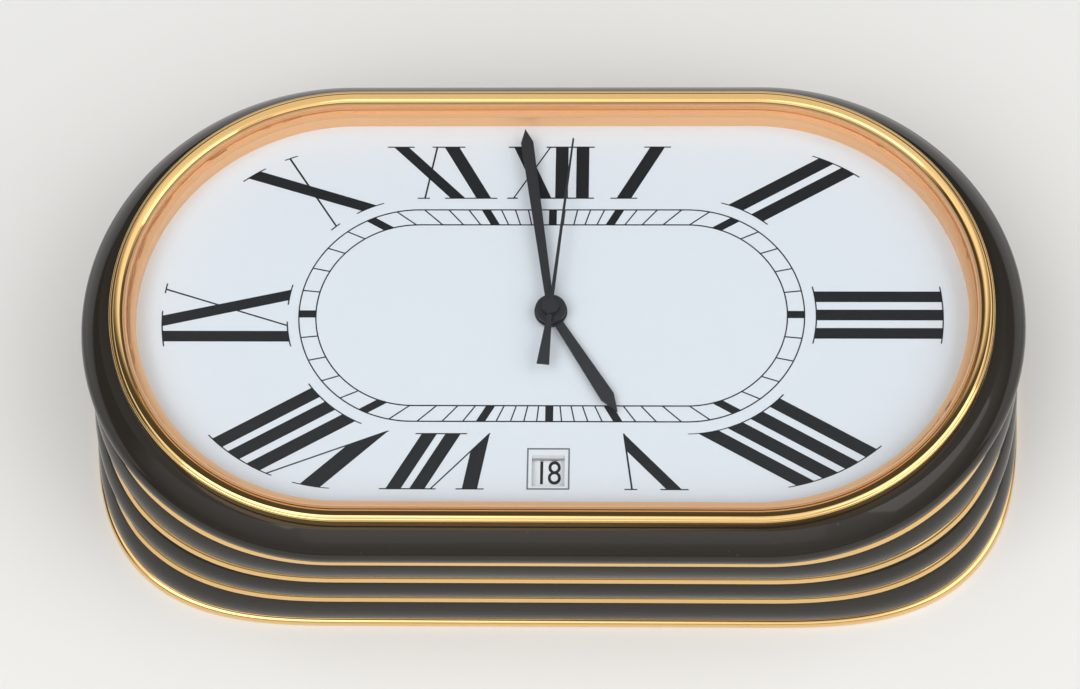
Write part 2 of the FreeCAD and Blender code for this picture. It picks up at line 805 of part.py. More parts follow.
def arbor_holes(body, name, low, deep):
    """Holes for the knob's shaft and the date corrector, through a plate behind the movement."""
    sketch = new_sketch(body, name, height=low)
    add_circle(sketch, MOTION_DISTANCE, 0, d.knob_shaft + d.fit)
    add_circle(sketch, d.corrector_x, -d.corrector_y, d.corrector_radius + d.fit)
    cut_up(body, sketch, deep)


def movement_bridge():
    """Rear plate of the movement, with the pivot holes of the second and third arbors."""
    body = new_body("movement_bridge")
    outline = rounded_plate(body, "bridge_outline", BRIDGE_SIZE, d.bridge_corner,
                            BRIDGE_BACK, d.plate_thick)
    pad(body, outline, d.plate_thick)
    pivots = new_sketch(body, "bridge_pivots", height=BRIDGE_BACK)
    add_circle(pivots, 0, 0, d.second_arbor + d.fit)
    add_circle(pivots, 0, THIRD_DISTANCE, d.second_arbor + d.fit)
    cut_up(body, pivots, d.plate_thick)
    arbor_holes(body, "bridge_holes", BRIDGE_BACK, d.plate_thick)
    return body


def movement_pillars():
    reach = PILLAR_PLACE
    low = BRIDGE_BACK + d.plate_thick
    return keep(group(*[cylinder(d.pillar_radius, PLATE_BACK - low, reach * i, reach * j, low)
                        for i in (1, -1) for j in (1, -1)]), "movement_pillars")


def movement_cover():
    """Dust cover: a shallow square box with round corners, open towards the plate."""
    body = new_body("movement_cover")
    hollow_corner = d.bridge_corner + d.cover_gap
    outline = rounded_plate(body, "cover_outline", COVER_SIZE, hollow_corner + d.cover_wall,
                            COVER_BACK, d.cover_height)
    pad(body, outline, d.cover_height)
    hollow = rounded_plate(body, "cover_hollow", COVER_HOLLOW, hollow_corner,
                           COVER_BACK + d.cover_wall, d.cover_height)
    cut_up(body, hollow, d.cover_height - d.cover_wall)
    arbor_holes(body, "cover_holes", COVER_BACK, d.cover_wall)
    return body


def slotted_screw(x, y, face, head_radius, length):
    """Screw driven upwards: its slotted head's face is at face."""
    head = cylinder(head_radius, d.screw_head_height, x, y, face)
    shank = cylinder(d.screw_shank - d.fit / 2, length, x, y, face + d.screw_head_height)
    slot = block(head_radius * 2, d.screw_slot, d.screw_slot, x, y, face)
    return cut(fuse(head, shank), slot)


def movement_screws():
    face = PLATE_BACK - d.screw_head_height
    return keep(group(*[slotted_screw(x, y, face, d.small_head, d.spacer_height)
                        for x, y in movement_screw_places()]), "movement_screws")


# ---------------------------------------------------------------- gears
def gear_outline(teeth, module, phase, tooth):
    """Corners of a toothed wheel, one tooth pointing at angle phase; widths in pitches."""
    pitch_radius = teeth * module / 2
    root = (pitch_radius - tooth["dedendum"] * module, tooth["half"] * ROOT_FLARE)
    middle = (pitch_radius, tooth["half"])
    tip = (pitch_radius + tooth["addendum"] * module, tooth["tip"])
    pitch = 2 * math.pi / teeth
    corners = []
    for index in range(teeth):
        centre = phase + index * pitch
        flanks = [(root, -1), (middle, -1), (tip, -1), (tip, 1), (middle, 1), (root, 1)]
        for (radius, half), side in flanks:
            angle = centre + side * half * pitch
            corners.append(V(radius * math.cos(angle), radius * math.sin(angle), 0))
    return corners


def gear(name, module, phase, low, thick, x=ZERO, y=ZERO, bore=ZERO):
    """A wheel or pinion as a flat toothed disc; small tooth counts get slim pinion leaves."""
    teeth = TOOTH_COUNT[name]
    tooth = PINION_TOOTH if name.endswith("pinion") else WHEEL_TOOTH
    corners = gear_outline(teeth, module.value, phase, tooth)
    face = Part.Face(Part.makePolygon(corners + corners[:1]))
    if bore.value > 0:
        face = face.cut(Part.Face(Part.Wire(Part.makeCircle(bore.value))))
    thing = doc.addObject("Part::Feature", name + "_teeth")
    thing.Shape = face.extrude(V(0, 0, thick.value))
    return place(thing, x, y, low)


def opposite_gap(name, angle):
    """Phase that turns a gap of this gear back along angle, to take its partner's tooth."""
    return angle + math.pi + math.pi / TOOTH_COUNT[name]


EAST, NORTH, WEST = 0, math.pi / 2, math.pi
THIRD_DISTANCE = centre_distance("third_pinion", "centre_wheel", d.train_module)
HOUR_MODULE = MOTION_DISTANCE * (2 / (TOOTH_COUNT["motion_pinion"] + TOOTH_COUNT["hour_wheel"]))
THIRD_MODULE = THIRD_DISTANCE * (2 / (TOOTH_COUNT["second_pinion"] + TOOTH_COUNT["third_wheel"]))
DATE_RING = DIAL_BACK - d.date_ring_gap - d.date_ring_thick
KEEPER = DIAL_BACK - d.keeper_thick


def centre_wheel():
    """Minute arbor: the centre wheel, the hollow arbor and the cannon pinion in front."""
    top = MINUTE_HAND + d.hand_thick
    bottom = CENTRE_LAYER - d.wheel_thick
    bore = d.second_arbor + d.fit
    arbor = tube(d.minute_arbor, bore, top - bottom, z=bottom)
    wheel = gear("centre_wheel", d.train_module, NORTH, CENTRE_LAYER, d.wheel_thick, bore=bore)
    pinion = gear("cannon_pinion", d.cannon_module, EAST, LAYER_1, d.wheel_thick, bore=bore)
    return keep(fuse(arbor, wheel, pinion), "centre_wheel")


def third_wheel():
    """Third arbor: its pinion is turned by the centre wheel and its wheel turns the seconds."""
    extra = d.pinion_extra
    low = BRIDGE_BACK + d.fit
    arbor = cylinder(d.second_arbor, SPACER_BACK - d.fit - low, 0, THIRD_DISTANCE, low)
    pinion = gear("third_pinion", d.train_module, opposite_gap("third_pinion", NORTH),
                  CENTRE_LAYER - extra, d.wheel_thick + extra * 2, y=THIRD_DISTANCE)
    wheel = gear("third_wheel", THIRD_MODULE, -NORTH, THIRD_LAYER, d.wheel_thick,
                 y=THIRD_DISTANCE)
    return keep(fuse(arbor, pinion, wheel), "third_wheel")


def second_wheel():
    """Second arbor, through the hollow minute arbor, with its pinion and its driven wheel."""
    extra = d.pinion_extra
    low = BRIDGE_BACK + d.fit
    top = SECOND_HAND + d.second_boss_height
    arbor = cylinder(d.second_arbor, top - low, z=low)
    pinion = gear("second_pinion", THIRD_MODULE, opposite_gap("second_pinion", -NORTH),
                  THIRD_LAYER - extra, d.wheel_thick + extra * 2)
    wheel = gear("second_wheel", d.second_wheel_module, EAST, SECOND_LAYER, d.wheel_thick)
    return keep(fuse(arbor, pinion, wheel), "second_wheel")


def motion_wheel():
    """Motion work: the wheel on the cannon pinion, its pinion and the shaft down to the knob."""
    low = KNOB_TOP
    shaft = cylinder(d.knob_shaft, LAYER_2 + d.wheel_thick - low, MOTION_DISTANCE, 0, low)
    wheel = gear("motion_wheel", d.cannon_module, opposite_gap("motion_wheel", EAST),
                 LAYER_1, d.wheel_thick, x=MOTION_DISTANCE)
    pinion = gear("motion_pinion", HOUR_MODULE, WEST, LAYER_1 + d.wheel_thick,
                  LAYER_2 - LAYER_1, x=MOTION_DISTANCE)
    return keep(fuse(shaft, wheel, pinion), "motion_wheel")


def hour_wheel():
    """Hour wheel with its pipe, and the pinion that turns the date wheel."""
    bore = d.minute_arbor + d.fit
    top = HOUR_HAND + d.hand_thick
    pipe = tube(d.hour_pipe, bore, top - LAYER_2, z=LAYER_2)
    wheel = gear("hour_wheel", HOUR_MODULE, opposite_gap("hour_wheel", WEST),
                 LAYER_2, d.wheel_thick, bore=bore)
    pinion = gear("date_pinion", d.date_module, WEST, LAYER_3, d.wheel_thick, bore=bore)
    return keep(fuse(pipe, wheel, pinion), "hour_wheel")


def date_wheel():
    """Once-a-day wheel; the finger above it reaches for the date ring's teeth."""
    bore = d.stud_radius + d.fit
    reach = DATE_TOOTH_TIP - d.finger_gap - DATE_DISTANCE
    wheel = gear("date_wheel", d.date_module, opposite_gap("date_wheel", WEST),
                 LAYER_3, d.wheel_thick, x=-DATE_DISTANCE)
    hub = cylinder(d.stud_radius * 2, LAYER_4 - LAYER_3 + d.wheel_thick, -DATE_DISTANCE, 0, LAYER_3)
    finger = block(d.finger_wide, reach, d.wheel_thick, -DATE_DISTANCE, reach / 2, LAYER_4)
    hole = cylinder(bore, d.layer * 2, -DATE_DISTANCE, 0, LAYER_3)
    return keep(cut(fuse(wheel, hub, finger), hole), "date_wheel")


def date_ring():
    """Ring of dates with one inward tooth a day, placed so that a day's middle is at 6 o'clock."""
    root, tip = DATE_RING_INNER.value, DATE_TOOTH_TIP.value
    pitch = math.radians(DAY_SPACING)
    south = -math.pi / 2
    corners = []
    for index in range(TOOTH_COUNT["date_ring"]):
        centre = south + (index + 0.5) * pitch
        for radius, offset in ((root, -0.22), (tip, -0.08), (tip, 0.08), (root, 0.22)):
            angle = centre + offset * pitch
            corners.append(V(radius * math.cos(angle), radius * math.sin(angle), 0))
    teeth = Part.Face(Part.makePolygon(corners + corners[:1]))
    disc = Part.Face(Part.Wire(Part.makeCircle(DATE_RING_OUTER.value)))
    thing = doc.addObject("Part::Feature", "date_ring")
    thing.Shape = disc.cut(teeth).extrude(V(0, 0, d.date_ring_thick.value))
    return keep(place(thing, 0, 0, DATE_RING), "date_ring")


# ---------------------------------------------------------------- hands
def turn_clockwise(body, name):
    body.Placement = FreeCAD.Placement(V(0, 0, 0), FreeCAD.Rotation(V(0, 0, 1), CLOCKWISE * ANGLES[name]))


def hand(label, low, thick, boss, bore, corners):
    """A flat hand pointing along +Y, turned to its place, with a round boss on its arbor."""
    body = new_body(label)
    blade = new_sketch(body, label + "_blade", height=low)
    add_polygon(blade, corners + [(-x, y) for x, y in reversed(corners) if x.value > 0])
    pad(body, blade, thick)
    disc = new_sketch(body, label + "_boss", height=low)
    add_circle(disc, 0, 0, boss)
    pad(body, disc, thick)
    hole = new_sketch(body, label + "_bore", height=low)
    add_circle(hole, 0, 0, bore)
    cut_up(body, hole, thick)
    turn_clockwise(body, label)
    return body


def hour_hand():
    return hand("hour_hand", HOUR_HAND, d.hand_thick, d.hour_boss, d.hour_pipe, [
        (d.hour_root_wide / 2, ZERO),
        (d.hour_shoulder_wide / 2, d.hour_shoulder),
        (ZERO, d.hour_hand_length)])


def minute_hand():
    return hand("minute_hand", MINUTE_HAND, d.hand_thick, d.minute_boss, d.minute_arbor, [
        (d.minute_root_wide / 2, ZERO),
        (d.minute_shoulder_wide / 2, d.minute_shoulder),
        (ZERO, d.minute_hand_length)])


def second_hand():
    """Thin second hand with a flared tail and a taller boss on its arbor."""
    body = hand("second_hand", SECOND_HAND, d.second_hand_thick, d.second_boss, d.second_arbor, [
        (d.second_tail_wide / 2, -d.second_tail_length),
        (d.second_root_wide / 2, ZERO),
        (d.second_tip_wide / 2, d.second_hand_length)])
    boss = new_sketch(body, "second_hand_collar", height=SECOND_HAND)
    add_circle(boss, 0, 0, d.second_boss)
    add_circle(boss, 0, 0, d.second_arbor)
    pad(body, boss, d.second_boss_height)
    return body


# ---------------------------------------------------------------- motor, circuit and power
def motor_coil():
    low = SECOND_LAYER + d.wheel_thick / 2
    length = d.coil_length
    return keep(cut(cylinder_along_y(d.coil_radius, length, -d.coil_place, -length / 2, low),
                    block(d.core_wide, length, d.core_thick, -d.coil_place, 0,
                          low - d.core_thick / 2)), "motor_coil")


def motor_stator():
    """Laminated core through the coil and the two arms to the rotor housing."""
    low = SECOND_LAYER + d.wheel_thick / 2 - d.core_thick / 2
    arm = d.coil_place - d.motor_inner - d.motor_wide / 2
    core = block(d.core_wide, d.stator_length, d.core_thick, -d.coil_place, 0, low)
    arms = [block(arm, d.core_wide, d.core_thick, -d.coil_place + arm / 2,
                  (d.stator_length / 2 - d.core_wide / 2) * side, low) for side in (1, -1)]
    legs = [block(d.core_wide, d.stator_length / 2 - d.motor_wide / 2, d.core_thick,
                  -d.coil_place + arm - d.core_wide / 2,
                  (d.stator_length / 4 + d.motor_wide / 4) * side, low) for side in (1, -1)]
    return keep(fuse(core, *arms, *legs), "motor_stator")


def rotor_housing():
    """Closed block round the rotor and its pinion; the second wheel's rim runs in its slot."""
    floor = BRIDGE_BACK + d.plate_thick
    middle = -d.motor_inner - d.motor_wide / 2
    housing = block(d.motor_wide, d.motor_wide, d.motor_height, middle, 0, floor)
    slot = cylinder(d.motor_inner + d.motor_slot_depth + d.gap,
                    d.wheel_thick + d.gap * 2, z=SECOND_LAYER - d.gap)
    return keep(cut(housing, slot), "rotor_housing")


def circuit_board():
    return keep(block(d.board_long, d.board_wide, d.board_thick, 0, -d.board_place,
                      BRIDGE_BACK + d.plate_thick), "circuit_board")


def quartz_can():
    low = BRIDGE_BACK + d.plate_thick + d.board_thick + d.quartz_radius
    return keep(cylinder_along_x(d.quartz_radius, d.quartz_length, -d.quartz_length / 2,
                                 -d.board_place, low), "quartz_can")


CELL_HALF = (d.cell_length + d.cell_nub) / 2
CELL_PLACE = COVER_SIZE / 2 + d.cell_gap + d.cradle_wall + d.contact_thick + CELL_HALF
CELL_HEIGHT = PLATE_BACK - d.gap - d.cradle_roof - d.cell_radius


def cell_span():
    """Low and high x of the cell with its nub, and of the cradle's inside."""
    low, high = -CELL_PLACE - CELL_HALF, -CELL_PLACE + CELL_HALF
    return low, high, low - d.contact_thick, high + d.contact_thick


def battery():
    low, high, _, _ = cell_span()
    can = cylinder_along_x(d.cell_radius, d.cell_length, low, 0, CELL_HEIGHT)
    nub = cylinder_along_x(d.cell_nub_radius, d.cell_nub, low + d.cell_length, 0, CELL_HEIGHT)
    return keep(fuse(can, nub), "battery")


def battery_cradle():
    """Holder with a trough open towards the hatch, hung from the spacer by its foot."""
    _, _, low, high = cell_span()
    trough = d.cell_radius + d.fit * 2
    wide = trough * 2 + d.cradle_wall * 2
    long = high - low + d.cradle_wall * 2
    middle = (low + high) / 2
    floor = CELL_HEIGHT - d.cell_radius
    top = PLATE_BACK - d.gap
    body = block(long, wide, top - floor, middle, 0, floor)
    foot = block(d.cradle_foot_long, wide, SPACER_BACK - top,
                 low - d.cradle_wall + d.cradle_foot_long / 2, 0, top)
    hollow = cylinder_along_x(trough, high - low, low, 0, CELL_HEIGHT)
    mouth = block(high - low, trough * 2, CELL_HEIGHT - floor, middle, 0, floor)
    return keep(cut(fuse(body, foot), hollow, mouth), "battery_cradle")


def battery_contacts():
    low, high, inner_low, _ = cell_span()
    size = d.contact_size
    base = CELL_HEIGHT - size / 2
    return keep(group(
        block(d.contact_thick, size, size, inner_low + d.contact_thick / 2, 0, base),
        block(d.contact_thick, size, size, high + d.contact_thick / 2, 0, base)),
        "battery_contacts")


# ---------------------------------------------------------------- back
KNOB_TOP = BACK_FACE + d.knob_recess + d.knob_height
STRUT_LOW = BACK_FACE + d.strut_recess
STRUT_AXIS = STRUT_LOW + d.strut_thick / 2
HATCH_LOW = BACK_FACE + d.hatch_recess


def back_screw_places():
    across = FRAME_BORE - d.flange_width / 2 - d.fit
    ends = d.case_spine + across
    sides = [(d.screw_x * i, across * j) for i in (1, -1) for j in (1, -1)]
    return sides + [(ends, ZERO), (-ends, ZERO)]


def back_plate():
    """Thick back: bayonet opening for the hatch, knob and corrector holes, channel for the strut."""
    body = stadium_plate("back_plate", d.case_spine, BACK_REACH, BACK_FACE, d.back_thick)
    neck = d.hatch_radius - d.hatch_lip
    seat_deep = d.hatch_recess + d.hatch_thick + d.gap
    seat = new_sketch(body, "hatch_seat", height=BACK_FACE)
    add_circle(seat, -CELL_PLACE, 0, d.hatch_radius + d.fit)
    cut_up(body, seat, seat_deep)
    throat = new_sketch(body, "hatch_throat", height=BACK_FACE + seat_deep)
    add_circle(throat, -CELL_PLACE, 0, neck + d.fit)
    cut_up(body, throat, d.back_thick - seat_deep)
    channel = new_sketch(body, "strut_channel", height=BACK_FACE)
    top = STRUT_HINGE + d.strut_thick / 2 + d.gap
    foot = STRUT_HINGE - STRUT_LENGTH - d.gap
    root, tip = d.strut_root_wide / 2 + d.gap, d.strut_foot_wide / 2 + d.gap
    add_polygon(channel, [(-tip, foot), (tip, foot), (root, top), (-root, top)])
    cut_up(body, channel, d.strut_recess + d.strut_thick + d.gap)
    pin_slot = new_sketch(body, "pin_slot", height=BACK_FACE)
    pin = d.strut_pin
    add_rectangle(pin_slot, -d.strut_pin_length / 2, STRUT_HINGE - pin,
                  d.strut_pin_length / 2, STRUT_HINGE + pin)
    cut_up(body, pin_slot, STRUT_AXIS + pin - BACK_FACE)
    holes = new_sketch(body, "back_holes", height=BACK_FACE)
    add_circle(holes, MOTION_DISTANCE, 0, d.knob_hole)
    add_circle(holes, d.corrector_x, -d.corrector_y, d.corrector_head + d.gap)
    for x, y in back_screw_places():
        add_circle(holes, x, y, d.screw_shank)
    cut_up(body, holes, d.back_thick)
    sinks = new_sketch(body, "screw_sinks", height=BACK_FACE)
    for x, y in back_screw_places():
        add_circle(sinks, x, y, d.screw_head + d.fit)
    cut_up(body, sinks, d.screw_head_height + d.fit)
    return body


def back_screws():
    grip = d.back_thick + d.flange_height - d.screw_head_height - d.gap
    return keep(group(*[slotted_screw(x, y, BACK_FACE + d.fit, d.screw_head, grip)
                        for x, y in back_screw_places()]), "back_screws")


def bore_frame_for_screws(body):
    holes = new_sketch(body, "frame_screw_holes", height=BACK_TOP)
    for x, y in back_screw_places():
        add_circle(holes, x, y, d.screw_shank)
    cut_up(body, holes, d.flange_height)


def battery_hatch():
    """Round coin-slot hatch: a lip in the back's seat, a neck and two bayonet lugs inside."""
    neck = d.hatch_radius - d.hatch_lip
    x = -CELL_PLACE
    lug_low = BACK_TOP + d.gap
    top = lug_low + d.lug_thick
    disc = cylinder(d.hatch_radius, d.hatch_thick, x, 0, HATCH_LOW)
    plug = cylinder(neck, top - HATCH_LOW, x, 0, HATCH_LOW)
    lugs = block((neck + d.lug_reach) * 2, d.lug_wide, d.lug_thick, x, 0, lug_low)
    hollow_radius = neck - d.lug_reach * 2
    hollow = cylinder(hollow_radius, top - HATCH_LOW - d.hatch_thick, x, 0,
                      HATCH_LOW + d.hatch_thick)
    slot = block(d.coin_slot_long, d.coin_slot_wide, d.coin_slot_deep, x, 0, HATCH_LOW)
    return keep(cut(fuse(disc, plug, lugs), hollow, slot), "battery_hatch")


def notch_back_for_lugs(body):
    """Ways for the two lugs, a part turn from where they lock."""
    neck = d.hatch_radius - d.hatch_lip
    seat = BACK_FACE + d.hatch_recess + d.hatch_thick + d.gap
    angle = math.radians(SIZES["hatch_turn"])
    along, across = neck + d.lug_reach + d.gap, d.lug_wide / 2 + d.gap
    notch = new_sketch(body, "lug_ways", height=seat)
    corners = [(along, across), (-along, across), (-along, -across), (along, -across)]
    c, s = math.cos(angle), math.sin(angle)
    add_polygon(notch, [(x * c - y * s - CELL_PLACE, x * s + y * c) for x, y in corners])
    cut_up(body, notch, BACK_TOP - seat)


def hatch_gasket():
    neck = d.hatch_radius - d.hatch_lip
    return keep(tube(d.hatch_radius - d.gap, neck, d.hatch_gasket, -CELL_PLACE, 0,
                     HATCH_LOW + d.hatch_thick), "hatch_gasket")


def setting_knob():
    """Fluted knob on the motion work's shaft."""
    low = BACK_FACE + d.knob_recess
    radius = d.knob_radius.value
    flutes = int(SIZES["knob_flutes"])
    corners = []
    for index in range(flutes * 2):
        angle = math.pi * index / flutes
        reach = radius if index % 2 else radius * 0.93
        corners.append(V(reach * math.cos(angle), reach * math.sin(angle), 0))
    thing = doc.addObject("Part::Feature", "setting_knob")
    thing.Shape = Part.Face(Part.makePolygon(corners + corners[:1])).extrude(V(0, 0, d.knob_height.value))
    return keep(place(thing, MOTION_DISTANCE, 0, low), "setting_knob")


def date_corrector():
    """Push button that moves the date on: a head in the back and a stem into the movement."""
    low = BACK_FACE + d.knob_recess
    top = PLATE_BACK - d.corrector_travel - d.gap
    head = cylinder(d.corrector_head, d.knob_height, d.corrector_x, -d.corrector_y, low)
    stem = cylinder(d.corrector_radius, top - low, d.corrector_x, -d.corrector_y, low)
    return keep(fuse(head, stem), "date_corrector")


def strut():
    """Tapered leg, folded flush in the back, with the bored knuckle at its root."""
    body = new_body("strut")
    leg = new_sketch(body, "strut_leg", height=STRUT_LOW)
    root, tip = d.strut_root_wide / 2, d.strut_foot_wide / 2
    foot = STRUT_HINGE - STRUT_LENGTH
    add_polygon(leg, [(-tip, foot), (tip, foot), (root, STRUT_HINGE), (-root, STRUT_HINGE)])
    pad(body, leg, d.strut_thick)
    knuckle = new_sketch(body, "strut_knuckle", "YZ_Plane", -root)
    add_circle(knuckle, STRUT_HINGE, STRUT_AXIS, d.strut_thick / 2)
    pad(body, knuckle, d.strut_root_wide)
    bore = new_sketch(body, "strut_bore", "YZ_Plane", -root)
    add_circle(bore, STRUT_HINGE, STRUT_AXIS, d.strut_pin + d.fit)
    cut_up(body, bore, d.strut_root_wide)
    return body


def strut_pin():
    return keep(cylinder_along_x(d.strut_pin, d.strut_pin_length, -d.strut_pin_length / 2,
                                 STRUT_HINGE, STRUT_AXIS), "strut_pin")


# ---------------------------------------------------------------- whole clock
def build_case():
    base_rim()
    lacquer_rib("lacquer_rib_4", RIM_TOP, RIM_REACH - d.rim_shoulder, d.lowest_rib_width,
                LOWEST_BAND_REACH)
    gold_band("gold_band_3", BAND_3, LOWEST_BAND_REACH)
    lacquer_rib("lacquer_rib_3", RIB_3, LOWEST_BAND_REACH, d.middle_rib_width, MIDDLE_BAND_REACH)
    gold_band("gold_band_2", BAND_2, MIDDLE_BAND_REACH)
    lacquer_rib("lacquer_rib_2", RIB_2, MIDDLE_BAND_REACH, d.upper_rib_width, UPPER_BAND_REACH)
    gold_band("gold_band_1", BAND_1, UPPER_BAND_REACH)
    top_rib()
    bore_frame_for_screws(inner_frame())
    bezel()
    flange_ring()
    crystal_gasket()
    crystal()
    dial()


def build_movement():
    movement_spacer()
    movement_plate()
    date_keeper()
    movement_bridge()
    movement_pillars()
    movement_cover()
    movement_screws()
    motor_coil()
    motor_stator()
    rotor_housing()
    circuit_board()
    quartz_can()
    battery()
    battery_cradle()
    battery_contacts()


def build_going_parts():
    centre_wheel()
    third_wheel()
    second_wheel()
    motion_wheel()
    hour_wheel()
    date_wheel()
    date_ring()
    hour_hand()
    minute_hand()
    second_hand()


def build_back():
    notch_back_for_lugs(back_plate())
    back_screws()
    battery_hatch()
    hatch_gasket()
    setting_knob()
    date_corrector()
    strut()
    strut_pin()


def check_and_write():
    """Refuse any failed object or empty shape, then write one file for each sub-part."""
    for thing in doc.Objects:
        if "Invalid" in thing.State or "Error" in thing.State:
            raise RuntimeError("%s (%s) failed: %s" % (thing.Name, thing.Label, thing.State))
    os.makedirs("parts", exist_ok=True)
    for thing in parts:
        shape = thing.Shape
        if shape.isNull() or not shape.isValid() or not shape.Solids:
            raise RuntimeError("%s has no valid solid" % thing.Label)
        shape.exportStep("parts/%s.step" % thing.Label)
        print("%-18s %2d solid(s) %10.2f mm3" % (thing.Label, len(shape.Solids), shape.Volume))


build_case()
build_movement()
build_going_parts()
build_back()
doc.recompute()
check_and_write()
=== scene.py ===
"""Looks of a desk clock with a date window, lying on its back on a pale table.

Metres. X runs to 3 o'clock, Y to 12 o'clock and Z out of the dial. "Reach" is the distance of
an outline from the spine, the straight line between the centres of its two round ends.
"""
import bmesh
import bpy
import math
from mathutils import Matrix, Vector


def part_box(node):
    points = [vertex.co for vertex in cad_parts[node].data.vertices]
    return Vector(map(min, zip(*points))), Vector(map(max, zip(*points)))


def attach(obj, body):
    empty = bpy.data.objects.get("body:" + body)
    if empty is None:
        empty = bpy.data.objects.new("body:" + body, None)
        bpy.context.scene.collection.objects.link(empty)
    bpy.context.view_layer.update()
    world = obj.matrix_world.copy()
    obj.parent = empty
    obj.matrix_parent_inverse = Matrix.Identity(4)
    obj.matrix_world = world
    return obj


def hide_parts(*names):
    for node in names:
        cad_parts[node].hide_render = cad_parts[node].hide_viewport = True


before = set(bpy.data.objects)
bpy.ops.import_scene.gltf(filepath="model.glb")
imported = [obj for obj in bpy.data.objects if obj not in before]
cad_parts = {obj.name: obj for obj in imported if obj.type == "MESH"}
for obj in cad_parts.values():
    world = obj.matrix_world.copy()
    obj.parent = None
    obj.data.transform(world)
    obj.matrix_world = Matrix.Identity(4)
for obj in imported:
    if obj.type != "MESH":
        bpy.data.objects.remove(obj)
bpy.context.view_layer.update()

MM = 0.001
DEGREE = math.pi / 180
SAME_PLACE = 1e-7              # points nearer than this are one


# ---------------------------------------------------------------- places taken from the frame
def low(node):
    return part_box(node)[0]


def high(node):
    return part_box(node)[1]


def reach_of(node):
    return high(node).y


def spine_of(node):
    return high(node).x - high(node).y


CASE_SPINE = spine_of("base_rim")
DIAL_SPINE = spine_of("crystal")
DIAL_FACE = high("dial").z
DATE_FACE = high("date_ring").z
FRAME_OUTSIDE = reach_of("inner_frame")


# ---------------------------------------------------------------- small helpers
def add_object(name, data):
    piece = bpy.data.objects.new(name, data)
    bpy.context.scene.collection.objects.link(piece)
    return piece


def mesh_from(name, points, faces):
    mesh = bpy.data.meshes.new(name)
    mesh.from_pydata([tuple(p) for p in points], [], faces)
    mesh.update()
    return mesh


def mesh_of(name, work):
    """Put what a bmesh holds into a new mesh and let the bmesh go."""
    mesh = bpy.data.meshes.new(name)
    work.to_mesh(mesh)
    work.free()
    return mesh


def baked(piece):
    """The piece's shape as a plain mesh, with its modifiers or its letters carried out."""
    graph = bpy.context.evaluated_depsgraph_get()
    return bpy.data.meshes.new_from_object(piece.evaluated_get(graph))


def finish_piece(piece, body, replaced=()):
    """Put a finished piece on its body and hide the parts it stands for."""
    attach(piece, body)
    if replaced:
        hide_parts(*replaced)


# ---------------------------------------------------------------- node tree helpers
def feed(tree, socket, value):
    """Link an output to a socket or set the socket's value; a node gives its first output."""
    if isinstance(value, bpy.types.Node):
        value = value.outputs[0]
    if isinstance(value, bpy.types.NodeSocket):
        tree.links.new(value, socket)
    else:
        socket.default_value = value


def wire(tree, node, **inputs):
    """Feed a node's inputs, named with spaces as _ or numbered as i0, i1 and so on."""
    for name, value in inputs.items():
        numbered = name[0] == "i" and name[1:].isdigit()
        feed(tree, node.inputs[int(name[1:]) if numbered else name.replace("_", " ")], value)


def put(tree, kind, group=None, **inputs):
    """Add a node and feed its inputs."""
    node = tree.nodes.new(kind)
    if group:
        node.node_tree = group
    wire(tree, node, **inputs)
    return node


def maths(tree, operation, a, b=0.0, c=0.0):
    node = put(tree, "ShaderNodeMath", i0=a, i1=b, i2=c)
    node.operation = operation
    return node


def maths_vector(tree, operation, a, b=None, scale=None):
    node = tree.nodes.new("ShaderNodeVectorMath")
    node.operation = operation
    for number, value in ((0, a), (1, b), (3, scale)):
        if value is not None:
            feed(tree, node.inputs[number], value)
    return node.outputs[1 if operation in ("DOT_PRODUCT", "LENGTH") else 0]


def noise(tree, scale, detail=2.0):
    """Cloudy noise fixed to the piece."""
    place = put(tree, "ShaderNodeTexCoord").outputs["Object"]
    return put(tree, "ShaderNodeTexNoise", Vector=place, Scale=scale, Detail=detail)


def map_range(tree, value, start, end):
    """0 up to start, 1 from end on."""
    return put(tree, "ShaderNodeMapRange", Value=value, From_Min=start, From_Max=end)


def ramp(tree, factor, *stops):
    """Shades of grey through (position, brightness) stops."""
    node = put(tree, "ShaderNodeValToRGB", Fac=factor)
    elements = node.color_ramp.elements
    while len(elements) < len(stops):
        elements.new(0.5)
    for element, (position, brightness) in zip(elements, stops):
        element.position = position
        element.color = grey(brightness) + (1.0,)
    return node


def grey(value):
    return (value, value, value)


def new_group(name, kind, inputs, outputs):
    """Node group with named sockets: inputs are (name, socket type, default)."""
    tree = bpy.data.node_groups.new(name, kind)
    for label, socket_type, default in inputs:
        socket = tree.interface.new_socket(label, in_out="INPUT", socket_type=socket_type)
        if default is not None:
            socket.default_value = default
    for label, socket_type in outputs:
        tree.interface.new_socket(label, in_out="OUTPUT", socket_type=socket_type)
    return tree, tree.nodes.new("NodeGroupInput"), tree.nodes.new("NodeGroupOutput")


# ---------------------------------------------------------------- shared shader groups
SPECK_SIZE = 0.10              # of a dust cell
SPECK_SPARSENESS = 0.60        # noise above which cells hold dust
LOWEST_ROUGHNESS = 0.02


